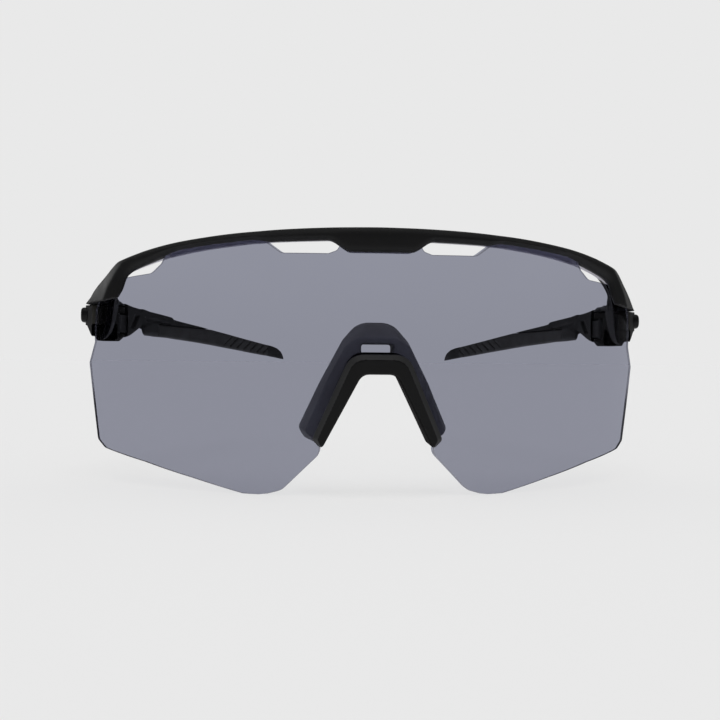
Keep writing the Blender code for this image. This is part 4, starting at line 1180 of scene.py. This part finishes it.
def pad_ring(part):
    """Ring of the saddle, part of the way from front to rear."""
    out = []
    bow = part + 0.16 * math.sin(math.pi * part)
    for (x0, z0), (x1, z1) in zip(rounded(symmetric(PAD_FRONT), 8),
                                  rounded(symmetric(PAD_REAR), 8)):
        x, z = x0 + (x1 - x0) * bow, z0 + (z1 - z0) * bow
        if abs(x) < 5.2 and z < SADDLE_Z + 0.6 and z0 > -8:
            z = max(z, SADDLE_Z)
        out.append(Vector((x, lens_point(x0, z0, 3.65).y + PAD_DEPTH * part, z)))
    return out


def arch_loft(name, rings):
    """A skin over arch-shaped rings, whose ends are closed by quads across each leg."""
    shape = bmesh.new()
    grid = ring_verts(shape, rings)
    bridge(shape, grid)
    for end in (grid[0], grid[-1]):
        half = len(end) // 2
        for i in range(half // 2 - 1):
            shape.faces.new((end[i], end[i + 1], end[half - 2 - i], end[half - 1 - i]))
            shape.faces.new((end[-1 - i], end[-2 - i], end[half + 1 + i], end[half + i]))
        shape.faces.new((end[0], end[half - 1], end[half], end[-1]))
    return make(name, shape)


def build_pad():
    pad = arch_loft("pad", [pad_ring(k / 8) for k in range(9)])
    pad = cut(pad, prism_y("window", PAD_WINDOW, -5, 30))
    pad = moulded(pad, voxel=0.24, rounds=5)
    place(pad, "nose_pad_saddle", "nose_pad", "nose_rubber", nose_rubber, sharp=None)


# ----------------------------------------------------------------------------
# Floor, light and camera, in metres
# ----------------------------------------------------------------------------
PALE = 0.8148        # even paper-white of the sweep behind and below
ALBEDO = 0.80        # of the floor
AMBIENT = 0.18       # even fill from the whole room
SOFT = 0.22          # share of the floor's light that casts the contact shadow
scene = bpy.context.scene


def build_floor():
    shape = bmesh.new()
    bmesh.ops.create_grid(shape, x_segments=8, y_segments=8, size=12.0)
    floor_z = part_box("shield_lens")[0].z - 0.00002
    bmesh.ops.translate(shape, verts=shape.verts, vec=(0, 0, floor_z))
    mesh = bpy.data.meshes.new("floor")
    shape.to_mesh(mesh)
    shape.free()
    floor = link_mesh("floor", mesh)
    nodes = Material("pale_floor")
    matt = nodes.add("ShaderNodeBsdfDiffuse", Color=(ALBEDO, ALBEDO, ALBEDO))
    mesh.materials.append(nodes.surface(matt.outputs[0]))
    floor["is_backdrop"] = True
    return floor


def build_world():
    world = bpy.data.worlds.new("studio")
    scene.world = world
    world.use_nodes = True
    nodes = Tree(world.node_tree)
    nodes.tree.nodes.clear()

    def backdrop(strength):
        return nodes.add("ShaderNodeBackground", Color=(1, 1, 1), Strength=strength).outputs[0]

    ray = nodes.add("ShaderNodeLightPath").outputs
    direction = nodes.split(nodes.add("ShaderNodeTexCoord").outputs["Generated"])
    # shiny faces see a dark room in front, a bright ceiling and a bright sweep behind
    behind = nodes.remap(direction["Y"], span=(0.65, 0.98), to=(0.04, 0.70), kind="SMOOTHSTEP")
    ceiling = nodes.remap(direction["Z"], span=(0.15, 0.9), to=(0.0, 0.30), kind="SMOOTHSTEP")
    shine = nodes.math("ADD", behind, ceiling)
    room = nodes.mix_shader(ray["Is Glossy Ray"], backdrop(AMBIENT), backdrop(shine))
    seen = nodes.mix_shader(ray["Is Camera Ray"], room, backdrop(PALE))
    nodes.add("ShaderNodeOutputWorld", Surface=seen)


def collect(name, objects):
    group = bpy.data.collections.new(name)
    for obj in objects:
        group.objects.link(obj)
    return group


def only(*words):
    """The pieces whose names hold any of the words."""
    return collect("lit_" + words[0], [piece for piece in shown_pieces()
                                       if any(word in piece.name for word in words)])


def sun(name, direction, strength, spread, receivers):
    data = bpy.data.lights.new(name, "SUN")
    data.energy = strength
    data.angle = math.radians(spread)
    obj = bpy.data.objects.new(name, data)
    obj.rotation_euler = Vector(direction).to_track_quat("-Z", "Y").to_euler()
    scene.collection.objects.link(obj)
    obj.light_linking.receiver_collection = receivers
    return obj


def build_lights(floor):
    ground = collect("ground", [floor])
    glasses = collect("glasses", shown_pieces())
    # the sweep: a shadowless wash, and a soft overhead light for a faint contact shadow
    wash = sun("sweep_wash", direction=(0, 0, -1), spread=5, receivers=ground,
               strength=(PALE / ALBEDO - AMBIENT) * math.pi - SOFT)
    wash.data.use_shadow = False
    overhead = Vector((0, 0.35, -1.0))
    sun("sweep_soft", direction=overhead, strength=SOFT * overhead.length, spread=40,
        receivers=ground)
    # the glasses: lights from above and behind, the left one stronger, and a front fill
    sun("soft_top_light", direction=(0.1, 0.10, -1.0), strength=0.60, spread=60,
        receivers=glasses)
    sun("soft_left_light", direction=(0.80, -0.80, -0.25), strength=0.23, spread=20,
        receivers=only("front_frame", "block_left", "cap_left"))
    sun("soft_right_light", direction=(-0.80, -0.80, -0.25), strength=0.045, spread=20,
        receivers=only("front_frame", "block_right", "cap_right"))
    sun("arm_left_light", direction=(1.0, -0.25, -0.45), strength=1.0, spread=50,
        receivers=only("arm_left", "grip_left"))
    sun("arm_right_light", direction=(-1.0, -0.25, -0.45), strength=1.0, spread=50,
        receivers=only("arm_right", "grip_right"))
    sun("nose_fill", direction=(0.1, 1.0, -0.6), strength=2.8, spread=80,
        receivers=only("nose_pad", "hinge_block"))


def build_camera():
    """In front of the glasses and slightly left, rolled by half a degree."""
    camera = bpy.data.cameras.new("camera")
    camera.sensor_width = 36
    camera.lens = 51.13
    camera.clip_start, camera.clip_end = 0.005, 60
    view = bpy.data.objects.new("camera", camera)
    scene.collection.objects.link(view)
    right = Vector((0.99715, -0.07498, 0.00908))
    up = Vector((-0.00905, 0.00068, 0.99996))
    ahead = Vector((0.07498, 0.99719, 0.0))
    spot = Vector((-0.020594, -0.227073, 0.002913))
    view.matrix_world = Matrix([*zip(right, up, -ahead, spot), (0, 0, 0, 1)])
    scene.camera = view


build_lens()
build_brow()
build_blocks()
build_caps()
build_fixings()
build_arms()
build_clip()
build_pad()
scene.view_settings.view_transform = "Standard"
stage_floor = build_floor()
build_world()
build_lights(stage_floor)
build_camera()

bpy.context.view_layer.update()
